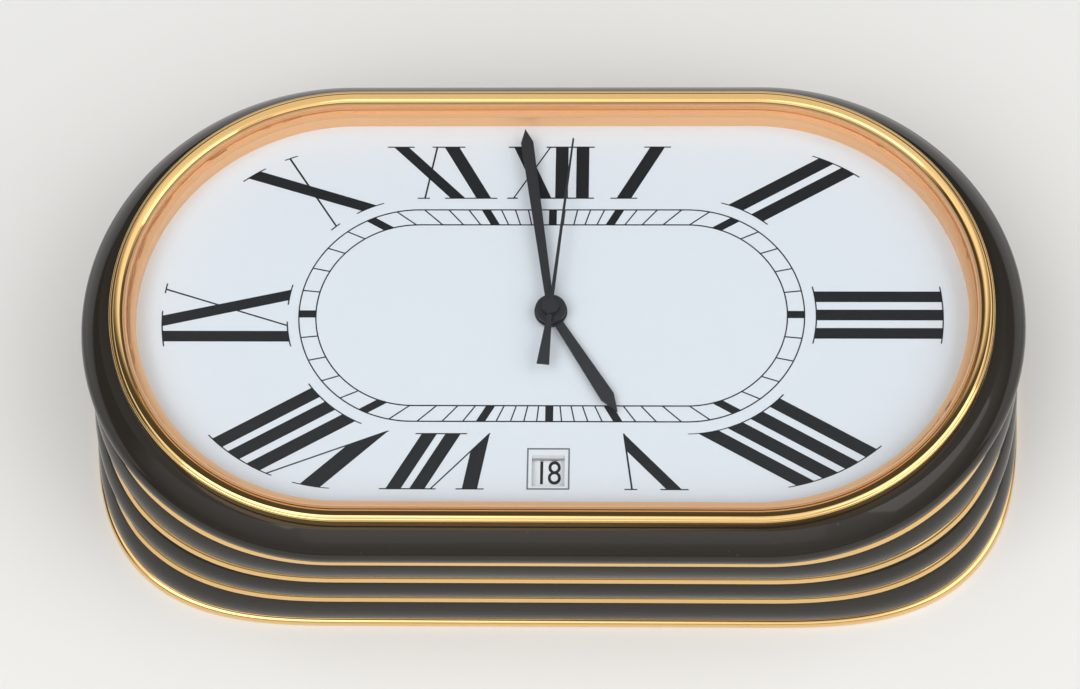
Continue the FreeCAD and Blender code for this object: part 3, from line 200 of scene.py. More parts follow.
def build_handling():
    """Fine polish haze, faint hairlines and dust, as a roughness, a height and a dust mask."""
    tree, given, out = new_group("handling", "ShaderNodeTree", [
        ("Roughness", "NodeSocketFloat", 0.1), ("Haze", "NodeSocketFloat", 0.03),
        ("Hairlines", "NodeSocketFloat", 0.2), ("Dust", "NodeSocketFloat", 0.1)],
        [("Roughness", "NodeSocketFloat"), ("Height", "NodeSocketFloat"),
         ("Dust", "NodeSocketFloat")])
    roughness, haze, hairlines, dustiness = given.outputs[:4]
    place = put(tree, "ShaderNodeTexCoord").outputs["Object"]
    uneven = maths(tree, "MULTIPLY_ADD", maths(tree, "SUBTRACT", noise(tree, 90.0, 3.0), 0.5),
                   haze, roughness)
    stretched = put(tree, "ShaderNodeMapping", Vector=place, Scale=(1400.0, 160.0, 500.0),
                    Rotation=(0.3, 0.2, 0.9))
    fine = put(tree, "ShaderNodeTexNoise", Vector=stretched, Scale=1.0, Detail=2.0)
    lines = maths(tree, "MULTIPLY", maths(tree, "SUBTRACT", fine, 0.5), hairlines)
    specks = put(tree, "ShaderNodeTexVoronoi", Vector=place, Scale=520.0)
    near = maths(tree, "LESS_THAN", specks, SPECK_SIZE)
    some = maths(tree, "GREATER_THAN", noise(tree, 260.0), SPECK_SPARSENESS)
    dust = maths(tree, "MULTIPLY", maths(tree, "MULTIPLY", near, some), dustiness)
    wire(tree, out, Roughness=maths(tree, "MAXIMUM", uneven, LOWEST_ROUGHNESS), Height=lines,
         Dust=dust)
    return tree


HANDLING = build_handling()


# ---------------------------------------------------------------- materials
def new_material(name):
    material = bpy.data.materials.new(name)
    material.use_nodes = True
    tree = material.node_tree
    return material, tree, tree.nodes["Principled BSDF"]


def blend_colours(tree, factor, first, second):
    mix = tree.nodes.new("ShaderNodeMix")
    mix.data_type = "RGBA"
    for number, value in ((0, factor), (6, first), (7, second)):
        feed(tree, mix.inputs[number], value + (1.0,) if isinstance(value, tuple) else value)
    return mix.outputs[2]


DUST_COLOUR = (0.55, 0.53, 0.50)
HAIRLINE_DEPTH = 0.02 * MM
GRAIN_DEPTH = 0.01 * MM


def handled_material(name, colour, metallic, roughness, haze=0.02, hairlines=0.1, dust=0.0,
                     tone=0.0, bump=0.02, ior=1.5):
    """Plain finish with slight tone changes, hairlines and dust; tone is how far it drifts."""
    material, tree, shader = new_material(name)
    worn = put(tree, "ShaderNodeGroup", HANDLING, Roughness=roughness, Haze=haze,
               Hairlines=hairlines, Dust=dust)
    deeper = tuple(c * (1 - tone) for c in colour)
    base = blend_colours(tree, noise(tree, 35.0), colour, deeper)
    dusty = blend_colours(tree, worn.outputs["Dust"], base, DUST_COLOUR)
    lift = put(tree, "ShaderNodeBump", Strength=bump, Distance=HAIRLINE_DEPTH,
               Height=worn.outputs["Height"])
    wire(tree, shader, Base_Color=dusty, Metallic=metallic, Roughness=worn.outputs["Roughness"],
         IOR=ior, Normal=lift)
    return material


def glass_material():
    """Clear flat glass: it mirrors a little and otherwise lets the dial and the light through."""
    material, tree, shader = new_material("watch_glass")
    tree.nodes.remove(shader)
    rough = maths(tree, "MULTIPLY_ADD", noise(tree, 40.0), 0.02, 0.005)
    gloss = put(tree, "ShaderNodeBsdfGlossy", Color=(1, 1, 1, 1), Roughness=rough)
    clear = put(tree, "ShaderNodeBsdfTransparent", Color=(0.99, 0.995, 0.995, 1))
    share = put(tree, "ShaderNodeFresnel", IOR=1.45)
    inside = put(tree, "ShaderNodeNewGeometry").outputs["Backfacing"]
    outer_share = maths(tree, "MULTIPLY", share, maths(tree, "SUBTRACT", 1.0, inside))
    mix = put(tree, "ShaderNodeMixShader", i0=outer_share, i1=clear, i2=gloss)
    wire(tree, tree.nodes["Material Output"], Surface=mix)
    return material


def dial_material():
    """Satin off-white with the faintest grain of a lacquered metal plate."""
    material, tree, shader = new_material("dial_lacquer")
    base = blend_colours(tree, noise(tree, 18.0), (0.78, 0.83, 0.89), (0.75, 0.80, 0.865))
    lift = put(tree, "ShaderNodeBump", Strength=0.05, Distance=GRAIN_DEPTH,
               Height=noise(tree, 700.0))
    wire(tree, shader, Base_Color=base, Roughness=0.55, Normal=lift)
    return material


GOLD = handled_material("polished_gold", (0.94, 0.61, 0.25), 1.0, 0.07, haze=0.03, hairlines=0.3,
                        dust=0.05, tone=0.06)
ROSE = handled_material("satin_rose_gold", (0.99, 0.59, 0.31), 1.0, 0.34, haze=0.05,
                        hairlines=0.6, tone=0.05, bump=0.08)
SEAT = handled_material("satin_seat", (0.90, 0.57, 0.32), 0.6, 0.45, haze=0.05, hairlines=0.4,
                        tone=0.05)
LACQUER = handled_material("black_lacquer", (0.027, 0.023, 0.018), 0.0, 0.08, hairlines=0.2,
                           dust=0.04, tone=0.15, ior=1.42)
GLASS = glass_material()
DIAL = dial_material()
PRINT = handled_material("printing_ink", (0.013, 0.015, 0.018), 0.0, 0.55, tone=0.2, ior=1.3)
SLATE = handled_material("slate_hands", (0.032, 0.034, 0.039), 0.25, 0.38, tone=0.2, bump=0.04)
DATE_WHITE = handled_material("date_white", (0.80, 0.82, 0.84), 0.0, 0.6, tone=0.03)
WINDOW_GREY = handled_material("window_frame", (0.16, 0.165, 0.175), 0.0, 0.45, tone=0.1)
BACK_GOLD = handled_material("brushed_gold", (0.88, 0.64, 0.34), 1.0, 0.28, haze=0.05,
                             hairlines=0.8, dust=0.1, tone=0.06, bump=0.1)
STEEL = handled_material("plain_steel", (0.55, 0.55, 0.54), 1.0, 0.3, tone=0.1)
BRASS = handled_material("plain_brass", (0.75, 0.56, 0.28), 1.0, 0.3, tone=0.15)
GREY_PLASTIC = handled_material("grey_plastic", (0.45, 0.45, 0.43), 0.0, 0.55, tone=0.08)
PALE_PLASTIC = handled_material("natural_plastic", (0.70, 0.68, 0.62), 0.0, 0.5, tone=0.08)
COPPER = handled_material("enamelled_copper", (0.55, 0.20, 0.08), 0.6, 0.35, tone=0.2)
BOARD = handled_material("circuit_green", (0.03, 0.16, 0.07), 0.0, 0.45, tone=0.2)
JACKET = handled_material("cell_jacket", (0.08, 0.08, 0.09), 0.4, 0.35, tone=0.1)
NICKEL = handled_material("nickel_spring", (0.70, 0.68, 0.63), 1.0, 0.22, tone=0.1)
RUBBER = handled_material("black_rubber", (0.02, 0.02, 0.02), 0.0, 0.7, tone=0.2)


# ---------------------------------------------------------------- rings swept round a stadium
def half_turn(tree, spine, reach, steps, side):
    """One round end of the stadium, drawn counter-clockwise."""
    arc = put(tree, "GeometryNodeCurveArc", Resolution=steps, Radius=reach,
              Start_Angle=-side * math.pi / 2, Sweep_Angle=math.pi)
    arc.mode = "RADIUS"
    middle = put(tree, "ShaderNodeCombineXYZ", X=maths(tree, "MULTIPLY", spine, float(side)))
    return put(tree, "GeometryNodeTransform", Geometry=arc, Translation=middle)


def build_sweep():
    """Carries a section round a stadium of the given spine and reach."""
    tree, given, out = new_group("stadium_sweep", "GeometryNodeTree", [
        ("Spine", "NodeSocketFloat", 0.03), ("Reach", "NodeSocketFloat", 0.04),
        ("End Steps", "NodeSocketInt", 64), ("Section", "NodeSocketObject", None),
        ("Finish", "NodeSocketMaterial", None)], [("Geometry", "NodeSocketGeometry")])
    spine, reach, steps, section, material = given.outputs[:5]
    ends = put(tree, "GeometryNodeJoinGeometry")
    for side in (-1, 1):
        wire(tree, ends, Geometry=half_turn(tree, spine, reach, steps, side))
    points = put(tree, "GeometryNodeCurveToPoints", Curve=ends)
    points.mode = "EVALUATED"
    path = put(tree, "GeometryNodePointsToCurves", Points=points)
    closed = put(tree, "GeometryNodeSetSplineCyclic", Geometry=path, Cyclic=True)
    upright = put(tree, "GeometryNodeSetCurveNormal", Curve=closed)
    upright.mode = "Z_UP"
    shape = put(tree, "GeometryNodeObjectInfo", Object=section)
    profile = put(tree, "GeometryNodeMeshToCurve", Mesh=shape.outputs["Geometry"])
    swept = put(tree, "GeometryNodeCurveToMesh", Curve=upright, Profile_Curve=profile)
    real = put(tree, "GeometryNodeRealizeInstances", Geometry=swept)
    finish = put(tree, "GeometryNodeSetMaterial", Geometry=real, Material=material)
    wire(tree, out, Geometry=finish)
    return tree


STADIUM_SWEEP = build_sweep()


# ---------------------------------------------------------------- growing pieces with nodes
def grow(name, tree, **values):
    """Run a Geometry Nodes tree once with its named inputs set and keep the plain mesh."""
    piece = add_object(name, bpy.data.meshes.new(name + "_seed"))
    modifier = piece.modifiers.new("grow", "NODES")
    modifier.node_group = tree
    for item in tree.interface.items_tree:
        key = item.name.lower().replace(" ", "_")
        if item.in_out == "INPUT" and key in values:
            modifier[item.identifier] = values[key]
    piece.data = baked(piece)
    piece.modifiers.clear()
    return piece


def shade(mesh, crease=32 * DEGREE, merge=0.0):
    """Faces outwards, smooth except over edges sharper than crease."""
    work = bmesh.new()
    work.from_mesh(mesh)
    if merge:
        bmesh.ops.remove_doubles(work, verts=work.verts, dist=merge)
    bmesh.ops.recalc_face_normals(work, faces=work.faces)
    work.to_mesh(mesh)
    work.free()
    mesh.shade_smooth()
    mesh.set_sharp_from_angle(angle=crease)
    return mesh


def arc_through(start, via, end, count=10):
    """Points after start on the circle through three points, up to end."""
    chord_1, chord_2 = via - start, end - start
    cross = 2 * chord_1.cross(chord_2)
    a, b = chord_1.length_squared, chord_2.length_squared
    middle = start + Vector((chord_2.y * a - chord_1.y * b, chord_1.x * b - chord_2.x * a)) / cross
    first = start - middle
    turn = first.angle_signed(end - middle)
    halfway = first.angle_signed(via - middle)
    if turn * halfway < 0 or abs(halfway) > abs(turn):
        turn -= math.copysign(2 * math.pi, turn)
    return [middle + Matrix.Rotation(-turn * i / count, 2) @ first for i in range(1, count + 1)]


LARGEST_SETBACK = 0.45         # share of a side that a rounded corner may take


def rounded_corner(before, corner, after, radius, count=5):
    """Points that round a corner off between its two neighbours."""
    back, ahead = (before - corner), (after - corner)
    setback = radius / math.tan(back.angle(ahead) / 2)
    start = corner + back.normalized() * min(setback, back.length * LARGEST_SETBACK)
    end = corner + ahead.normalized() * min(setback, ahead.length * LARGEST_SETBACK)
    steps = [i / (count - 1) for i in range(count)]
    return [start * (1 - t) ** 2 + corner * (2 * t * (1 - t)) + end * t ** 2 for t in steps]


def outline(*parts):
    """Closed section. A part is (reach, height, rounding) or an arc: (via, end, rounding)."""
    corners = []
    for part in parts:
        if isinstance(part[0], tuple):
            via, end = Vector(part[0]), Vector(part[1])
            corners += [(point, 0.0) for point in arc_through(corners[-1][0], via, end)]
            corners[-1] = (end, part[2])
        else:
            corners.append((Vector(part[:2]), part[2]))
    points = []
    for i, (corner, radius) in enumerate(corners):
        before, after = corners[i - 1][0], corners[(i + 1) % len(corners)][0]
        points += rounded_corner(before, corner, after, radius) if radius else [corner]
    return points


SQUARING_START = high("gold_band_1").z + 0.7 * MM    # above this the case ends are half circles
SQUARING = 1.0                 # how far the superellipse's exponent rises over 2 at the table
SINK_START, SINK_RUN = 0.72, 0.25    # from where, as x / reach, a band sinks between the ribs


def square_out(mesh, spine, sunk):
    """Turn the round ends of a low ring into superellipses, the squarer the lower they are.

    Their tips sink by sunk.
    """
    for vertex in mesh.vertices:
        x, y, z = vertex.co
        along = abs(x) - spine
        reach = math.hypot(along, y)
        share = (SQUARING_START - z) / SQUARING_START
        outer = min(max((reach - FRAME_OUTSIDE) / MM, 0.0), 1.0)
        if along <= 0 or share <= 0 or outer == 0:
            continue
        power = 2 / (2 + SQUARING * outer * share)
        along, across = along / reach, abs(y) / reach
        tip = min(max((along - SINK_START) / SINK_RUN, 0.0), 1.0)
        reach -= sunk * outer * tip * tip * (3 - 2 * tip)
        vertex.co = (math.copysign(spine + reach * along ** power, x),
                     math.copysign(reach * across ** power, y), z)


TRACK_STEPS, DIAL_STEPS, CASE_STEPS = 72, 96, 144    # steps round each end


def swept_ring(name, spine, section, material, replaced, steps, squared=False, sunk=0.0):
    """A section carried round the stadium outline of the given spine."""
    middle = (max(p.x for p in section) + min(p.x for p in section)) / 2
    flat = [(p.x - middle, -p.y, 0) for p in section]
    edges = [(i, (i + 1) % len(flat)) for i in range(len(flat))]
    mesh = bpy.data.meshes.new(name + "_section")
    mesh.from_pydata(flat, edges, [])
    shape = add_object(name + "_section", mesh)
    ring = grow(name, STADIUM_SWEEP, spine=spine, reach=middle, end_steps=steps, section=shape,
                finish=material)
    bpy.data.objects.remove(shape)
    if squared:
        square_out(ring.data, spine, sunk)
    shade(ring.data, merge=SAME_PLACE)
    finish_piece(ring, "case", replaced)


def case_ring(name, section, material, node, sunk=0.0):
    """A ring of the case that stands for a node."""
    swept_ring(name, CASE_SPINE, section, material, [node], CASE_STEPS, True, sunk)


# ---------------------------------------------------------------- case rings
RIM_TOP = high("base_rim").z - 0.8 * MM    # where the lowest rib takes over from the rim
RIM_PROUD = 0.3 * MM           # how far the rim stands out past its node
RIM_DEPTH = 0.8 * MM           # and in under the frame
RIM_FOOT_ROUND, RIM_TOP_ROUND = 0.4 * MM, 0.6 * MM
BAND_ROUND = 0.12 * MM
BAND_SHOULDER = 0.2 * MM       # how far a band's edges lie inside its node's face
BAND_CROWN = 0.25 * MM         # how far its middle stands out past it
BAND_SINK = 0.45 * MM          # how far it sinks at the tips of the case
RIB_TUCK = 0.1 * MM            # how far a rib's edges lie inside the band beside it
RIM_TUCK = 0.3 * MM            # and inside the base rim
RIB_ROUND = 0.25 * MM


def build_rims_and_bands():
    """The gold base rim and the slightly crowned bands, which sink at the tips of the case."""
    inside, edge = FRAME_OUTSIDE - RIM_DEPTH, reach_of("base_rim") + RIM_PROUD
    table = low("base_rim").z
    rim = outline((inside, table, 0), (edge, table, RIM_FOOT_ROUND),
                  (edge, RIM_TOP, RIM_TOP_ROUND), (inside, RIM_TOP, 0))
    case_ring("polished_base_rim", rim, GOLD, "base_rim")
    for number in (1, 2, 3):
        node = "gold_band_%d" % number
        bottom, top, face = low(node).z, high(node).z, reach_of(node)
        shoulder = face - BAND_SHOULDER
        crown = outline((FRAME_OUTSIDE, bottom, 0), (shoulder, bottom, BAND_ROUND),
                        ((face + BAND_CROWN, (bottom + top) / 2), (shoulder, top), BAND_ROUND),
                        (FRAME_OUTSIDE, top, 0))
        case_ring("polished_band_%d" % number, crown, GOLD, node, BAND_SINK)


def build_ribs():
    """Three bulging lacquered ribs between the gold rings."""
    for number, below, tuck in ((2, "gold_band_2", RIB_TUCK), (3, "gold_band_3", RIB_TUCK),
                                (4, "base_rim", RIM_TUCK)):
        node = "lacquer_rib_%d" % number
        bottom = RIM_TOP if below == "base_rim" else low(node).z
        middle, top = (bottom + high(node).z) / 2, high(node).z
        foot = reach_of(below) - tuck
        brow = reach_of("gold_band_%d" % (number - 1)) - RIB_TUCK
        section = outline((FRAME_OUTSIDE, bottom, 0), (foot, bottom, RIB_ROUND),
                          ((reach_of(node), middle), (brow, top), RIB_ROUND),
                          (FRAME_OUTSIDE, top, 0))
        case_ring("lacquered_rib_%d" % number, section, LACQUER, node)


def build_top_rib():
    """The wide rib under the bezel: widest low down, with a rounded shoulder above."""
    node = "lacquer_rib_1"
    bottom, shelf, crest = low(node).z, high(node).z, reach_of(node)
    frame_top, bore = high("inner_frame").z, FRAME_OUTSIDE - 1.5 * MM
    widest, slope_round = bottom + 2.1 * MM, 2.6 * MM
    shoulder = (crest - 0.76 * MM, widest + 1.84 * MM)
    shoulder_via = (crest - 0.076 * slope_round, widest + 0.383 * slope_round)
    slope_via = (crest - 2.0 * MM, (shoulder[1] + shelf) / 2 + 0.10 * MM)
    section = outline(
        (FRAME_OUTSIDE, bottom, 0), (crest - 1.0 * MM, bottom, RIB_ROUND),
        ((crest - 0.28 * MM, bottom + 0.95 * MM), (crest, widest), 0),
        (shoulder_via, shoulder, 0), (slope_via, (FRAME_OUTSIDE + 0.1 * MM, shelf), 0),
        (bore, shelf, 0), (bore, frame_top, 0), (FRAME_OUTSIDE, frame_top, 0))
    case_ring("lacquered_top_rib", section, LACQUER, node)


# ---------------------------------------------------------------- bezel and flange
ROLL_ROUND, LIP_ROUND, RABBET_ROUND = 0.10 * MM, 0.1 * MM, 0.08 * MM
FOOT_STEP = 0.2 * MM           # the step between the bezel and the shelf it stands on
SEAT_SKIN = 0.05 * MM          # thickness of the finish on the crystal's seat


def build_bezel():
    """Polished roll on a stepped foot. Its section is given inwards from the foot's reach."""
    skirt, foot_reach, crown = low("bezel").z, reach_of("bezel"), high("bezel").z
    shelf, glass_top = high("lacquer_rib_1").z, high("crystal").z
    wall, ridge = foot_reach - 0.65 * MM, foot_reach - 1.45 * MM
    bore, inner = foot_reach - 1.8 * MM, foot_reach - 2.7 * MM

    def roll(inwards, down):
        return foot_reach - inwards * MM, crown - down * MM

    section = outline(
        (inner, skirt, 0), (bore, skirt, 0), (bore, shelf, 0), (wall - FOOT_STEP, shelf, 0),
        (wall - FOOT_STEP, shelf + FOOT_STEP, 0), (wall, shelf + 1.5 * FOOT_STEP, 0),
        (wall, crown - 0.62 * MM, 0), (roll(0.74, 0.40), roll(0.95, 0.28), 0),
        (roll(1.19, 0.09), (ridge, crown), ROLL_ROUND),
        (roll(1.93, 0.09), roll(2.43, 0.28), ROLL_ROUND / 2), (inner, glass_top, 0))
    swept_ring("polished_bezel", DIAL_SPINE, section, GOLD, ["bezel"], DIAL_STEPS)


def build_flange():
    """The satin flange that leads down to the dial, and the skin on the crystal's seat."""
    skirt, flange, glass_top = low("flange_ring").z, reach_of("flange_ring"), high("crystal").z
    ledge = low("crystal_gasket").z
    lip, opening, rabbet = flange - 0.5 * MM, flange - 1.5 * MM, flange - 1.8 * MM
    section = outline(
        (opening, skirt, 0), (flange, skirt, 0), (flange, glass_top, 0),
        (lip, glass_top, LIP_ROUND), (lip, ledge, 0), (rabbet, ledge, RABBET_ROUND))
    swept_ring("satin_flange", DIAL_SPINE, section, ROSE, ["flange_ring"], DIAL_STEPS)
    thin = SEAT_SKIN
    section = outline(
        (rabbet - thin, ledge - thin, 0), (lip + 2 * thin, ledge - thin, 0),
        (lip + 2 * thin, glass_top + thin, 0), (lip - thin, glass_top + thin, 0),
        (lip - thin, ledge + thin, 0), (rabbet - thin, ledge + thin, 0))
    swept_ring("crystal_seat", DIAL_SPINE, section, SEAT, (), DIAL_STEPS)


build_rims_and_bands()
build_ribs()
build_top_rib()
build_bezel()
build_flange()


# ---------------------------------------------------------------- printing on the dial
INK_LINE = 0.20 * MM
INK_THICK = 0.030 * MM         # crossing prints are 1.15 to 1.6 times this, so that none coincide
MINUTE_BAR = 1.25 * MM         # width of every fifth minute's bar
TRACK_SPINE = 21.42 * MM
TRACK_OUTER = 18.58 * MM
TRACK_INNER = 15.88 * MM
NUMERAL_SPINE_IN = 21.15 * MM
NUMERAL_INNER = 20.60 * MM
NUMERAL_SPINE_OUT = 31.75 * MM
NUMERAL_OUTER = 30.10 * MM
SERIF = 0.85 * MM


def build_outline_meeting():
    """Where a line from a start inside a stadium, in a unit direction, crosses its outline."""
    tree, given, out = new_group("meet_outline", "GeometryNodeTree", [
        ("Start", "NodeSocketVector", None), ("Direction", "NodeSocketVector", None),
        ("Spine", "NodeSocketFloat", 0.02), ("Reach", "NodeSocketFloat", 0.02)],
        [("Position", "NodeSocketVector")])
    start, direction, spine, reach = given.outputs[:4]
    way = put(tree, "ShaderNodeSeparateXYZ", Vector=direction)
    origin = put(tree, "ShaderNodeSeparateXYZ", Vector=start)
    side_y = maths(tree, "MULTIPLY", maths(tree, "SIGN", way.outputs["Y"]), reach)
    along = maths(tree, "DIVIDE", maths(tree, "SUBTRACT", side_y, origin.outputs["Y"]),
                  way.outputs["Y"])
    flat = maths_vector(tree, "ADD", start, maths_vector(tree, "SCALE", direction, scale=along))
    flat_x = put(tree, "ShaderNodeSeparateXYZ", Vector=flat).outputs["X"]
    on_straight = maths(tree, "LESS_THAN", maths(tree, "ABSOLUTE", flat_x), spine)
    end_x = maths(tree, "MULTIPLY", maths(tree, "SIGN", way.outputs["X"]), spine)
    middle = put(tree, "ShaderNodeCombineXYZ", X=end_x)
    offset = maths_vector(tree, "SUBTRACT", start, middle)
    b = maths_vector(tree, "DOT_PRODUCT", offset, direction)
    c = maths(tree, "SUBTRACT", maths_vector(tree, "DOT_PRODUCT", offset, offset),
              maths(tree, "MULTIPLY", reach, reach))
    root = maths(tree, "SQRT", maths(tree, "SUBTRACT", maths(tree, "MULTIPLY", b, b), c))
    curved = maths_vector(tree, "ADD", start, maths_vector(
        tree, "SCALE", direction, scale=maths(tree, "SUBTRACT", root, b)))
    choice = tree.nodes.new("ShaderNodeMix")
    choice.data_type = "VECTOR"
    wire(tree, choice, i0=on_straight, i4=curved, i5=flat)
    wire(tree, out, Position=choice.outputs[1])
    return tree


def build_minute_bars(meeting):
    """Radial bars between two stadium outlines, every fifth one thick."""
    tree, given, out = new_group("minute_bars", "GeometryNodeTree", [
        ("Count", "NodeSocketInt", 60), ("Spine", "NodeSocketFloat", 0.02),
        ("Inner", "NodeSocketFloat", 0.016), ("Outer", "NodeSocketFloat", 0.018),
        ("Line", "NodeSocketFloat", 0.0002), ("Bar", "NodeSocketFloat", 0.001),
        ("Face", "NodeSocketFloat", 0.028), ("Ink", "NodeSocketFloat", 0.00003),
        ("Finish", "NodeSocketMaterial", None)], [("Geometry", "NodeSocketGeometry")])
    count, spine, inner, outer, line, bar, face, ink, material = given.outputs[:9]
    row = put(tree, "GeometryNodeMeshLine", Count=count, Offset=(0, 0, 0))
    numbered = put(tree, "GeometryNodeStoreNamedAttribute", Geometry=row, Name="minute",
                   Value=put(tree, "GeometryNodeInputIndex"))
    cube = put(tree, "GeometryNodeMeshCube", Size=(1, 1, 1))
    bars = put(tree, "GeometryNodeInstanceOnPoints", Points=numbered, Instance=cube)
    real = put(tree, "GeometryNodeRealizeInstances", Geometry=bars)
    minute = put(tree, "GeometryNodeInputNamedAttribute", Name="minute")
    local = put(tree, "ShaderNodeSeparateXYZ", Vector=put(tree, "GeometryNodeInputPosition"))
    angle = maths(tree, "DIVIDE", maths(tree, "MULTIPLY", minute, 2 * math.pi), count)
    sine, cosine = maths(tree, "SINE", angle), maths(tree, "COSINE", angle)
    out_way = put(tree, "ShaderNodeCombineXYZ", X=sine, Y=cosine)
    side_way = put(tree, "ShaderNodeCombineXYZ", X=cosine, Y=maths(tree, "MULTIPLY", sine, -1.0))
    fifth = maths(tree, "LESS_THAN", maths(tree, "MODULO", minute, 5.0), 0.5)
    wide = maths(tree, "MULTIPLY_ADD", fifth, maths(tree, "SUBTRACT", bar, line), line)
    start = maths_vector(tree, "SCALE", side_way,
                         scale=maths(tree, "MULTIPLY", local.outputs["X"], wide))
    outside = maths(tree, "GREATER_THAN", local.outputs["Y"], 0.0)
    reach = maths(tree, "MULTIPLY_ADD", outside, maths(tree, "SUBTRACT", outer, inner), inner)
    met = put(tree, "GeometryNodeGroup", meeting, Start=start, Direction=out_way, Spine=spine,
              Reach=reach)
    lift = maths(tree, "MULTIPLY_ADD", maths(tree, "ADD", local.outputs["Z"], 0.5), ink, face)
    place = maths_vector(tree, "ADD", met, put(tree, "ShaderNodeCombineXYZ", Z=lift))
    placed = put(tree, "GeometryNodeSetPosition", Geometry=real, Position=place)
    finish = put(tree, "GeometryNodeSetMaterial", Geometry=placed, Material=material)
    wire(tree, out, Geometry=finish)
    return tree


def stadium_crossing(start, direction, spine, reach):
    """Where a line from inside a stadium crosses its outline."""
    if abs(direction.y) > 1e-6:
        along = (math.copysign(reach, direction.y) - start.y) / direction.y
        if abs(start.x + direction.x * along) <= spine:
            return start + direction * along
    offset = start - Vector((math.copysign(spine, direction.x), 0))
    b, c = offset.dot(direction), offset.length_squared - reach * reach
    return start + direction * (math.sqrt(b * b - c) - b)


def add_prism(work, corners, floor, height):
    """Closed straight-sided prism over a flat polygon."""
    bottom = [work.verts.new((x, y, floor)) for x, y in corners]
    top = [work.verts.new((x, y, floor + height)) for x, y in corners]
    work.faces.new(bottom[::-1])
    work.faces.new(top)
    for i in range(len(corners)):
        j = (i + 1) % len(corners)
        work.faces.new((bottom[i], bottom[j], top[j], top[i]))


def inked(name, work, body="case", material=None):
    bmesh.ops.recalc_face_normals(work, faces=work.faces)
    mesh = mesh_of(name, work)
    mesh.materials.append(material or PRINT)
    finish_piece(add_object(name, mesh), body)


def span_points(place, start, end, count=5):
    """Points along a numeral's foot or head, from one place across its radius to another."""
    return [place(start + (end - start) * i / (count - 1)) for i in range(count)]


class NumeralPlace:
    """An hour's place on the dial: letters stand along its radius between two outlines."""

    def __init__(self, hour):
        angle = hour * 30 * DEGREE
        self.out = Vector((math.sin(angle), math.cos(angle)))
        self.side = Vector((math.cos(angle), -math.sin(angle)))

    def foot(self, across):
        return stadium_crossing(self.side * across, self.out, NUMERAL_SPINE_IN, NUMERAL_INNER)

    def head(self, across):
        return stadium_crossing(self.side * across, self.out, NUMERAL_SPINE_OUT, NUMERAL_OUTER)

    def stroke(self, work, foot, head, height):
        """A letter stroke between two spans across the radius, given in mm."""
        low_edge = span_points(self.foot, foot[0] * MM, foot[1] * MM)
        high_edge = span_points(self.head, head[0] * MM, head[1] * MM)
        add_prism(work, low_edge + high_edge[::-1], DIAL_FACE, height)

    def wedge(self, work, head, apex, thin_head, height):
        """The thick stroke of a V: even in width and cut off where its hairline passes."""
        tip, corner = self.foot(apex * MM), self.head(head[0] * MM)
        along, inner = corner - tip, self.head(head[1] * MM)
        hair = self.head(thin_head * MM) - tip
        reach = (inner - tip).cross(hair) / along.cross(hair)
        span = span_points(self.head, head[0] * MM, head[1] * MM)
        add_prism(work, [tip] + span + [inner - along * reach], DIAL_FACE, height)

    def serif(self, work, place, start, end):
        """A hairline across a letter's foot or head, with a short overhang."""
        inward = -self.out if place == self.head else self.out
        near = span_points(place, start * MM - SERIF, end * MM + SERIF, 9)
        far = [point + inward * INK_LINE for point in near[::-1]]
        add_prism(work, near + far, DIAL_FACE, INK_THICK * 1.6)


# Letters of each numeral as spans across the hour's radius, in mm, clockwise positive:
# "I" (from, to), "V" (thick head from, to, foot, thin head), "X" (thick head, thick foot,
# thin head, thin foot). Thick strokes are given by their counter-clockwise edge.
NUMERALS = {
    1: [("I", -1.55)],
    2: [("I", -2.85), ("I", 0.45)],
    3: [("I", -4.05), ("I", -0.85), ("I", 2.35)],
    4: [("I", -5.4), ("I", -2.1), ("I", 1.05), ("I", 4.15)],
    5: [("V", -2.95, 0.2, 3.9)],
    7: [("V", -5.55, -2.35, 0.9), ("I", 1.55), ("I", 4.75)],
    8: [("V", -8.15, -5.0, -1.75), ("I", -0.95), ("I", 2.35), ("I", 5.5)],
    9: [("I", -4.85), ("X", -2.2, 2.45, 4.5, -2.2)],
    10: [("X", -3.65, 0.6, 2.95, -4.0)],
    11: [("X", -7.5, -3.9, -1.2, -7.7), ("I", -0.35)],
    12: [("X", -6.5, -2.3, -0.4, -6.55), ("I", 0.3), ("I", 3.65)],
}
THICK_STROKE = 2.05
SIDE_STROKE = 1.85             # thick strokes of the numerals at three and nine
THIN_STROKE = 0.24


def draw_numerals():
    """Roman numerals with hairline serifs, their feet towards the centre."""
    work = bmesh.new()
    for hour, letters in NUMERALS.items():
        place = NumeralPlace(hour)
        thick = SIDE_STROKE if hour in (3, 9) else THICK_STROKE
        for letter, *spans in letters:
            if letter == "I":
                span = (spans[0], spans[0] + thick)
                place.stroke(work, span, span, INK_THICK)
                place.serif(work, place.foot, *span)
                place.serif(work, place.head, *span)
                continue
            head = (spans[0], spans[0] + thick)
            if letter == "V":
                thin_head, thin_foot = spans[2], spans[1] - THIN_STROKE / 2
                place.wedge(work, head, spans[1], thin_head, INK_THICK * 1.15)
            else:
                foot = (spans[1], spans[1] + thick)
                thin_head, thin_foot = spans[2], spans[3]
                place.serif(work, place.foot, *foot)
                place.serif(work, place.foot, thin_foot, thin_foot)
                place.stroke(work, foot, head, INK_THICK * 1.15)
            place.stroke(work, (thin_foot, thin_foot + THIN_STROKE),
                         (thin_head - THIN_STROKE, thin_head), INK_THICK * 1.3)
            place.serif(work, place.head, *head)
            place.serif(work, place.head, thin_head, thin_head)
    inked("hour_numerals", work)


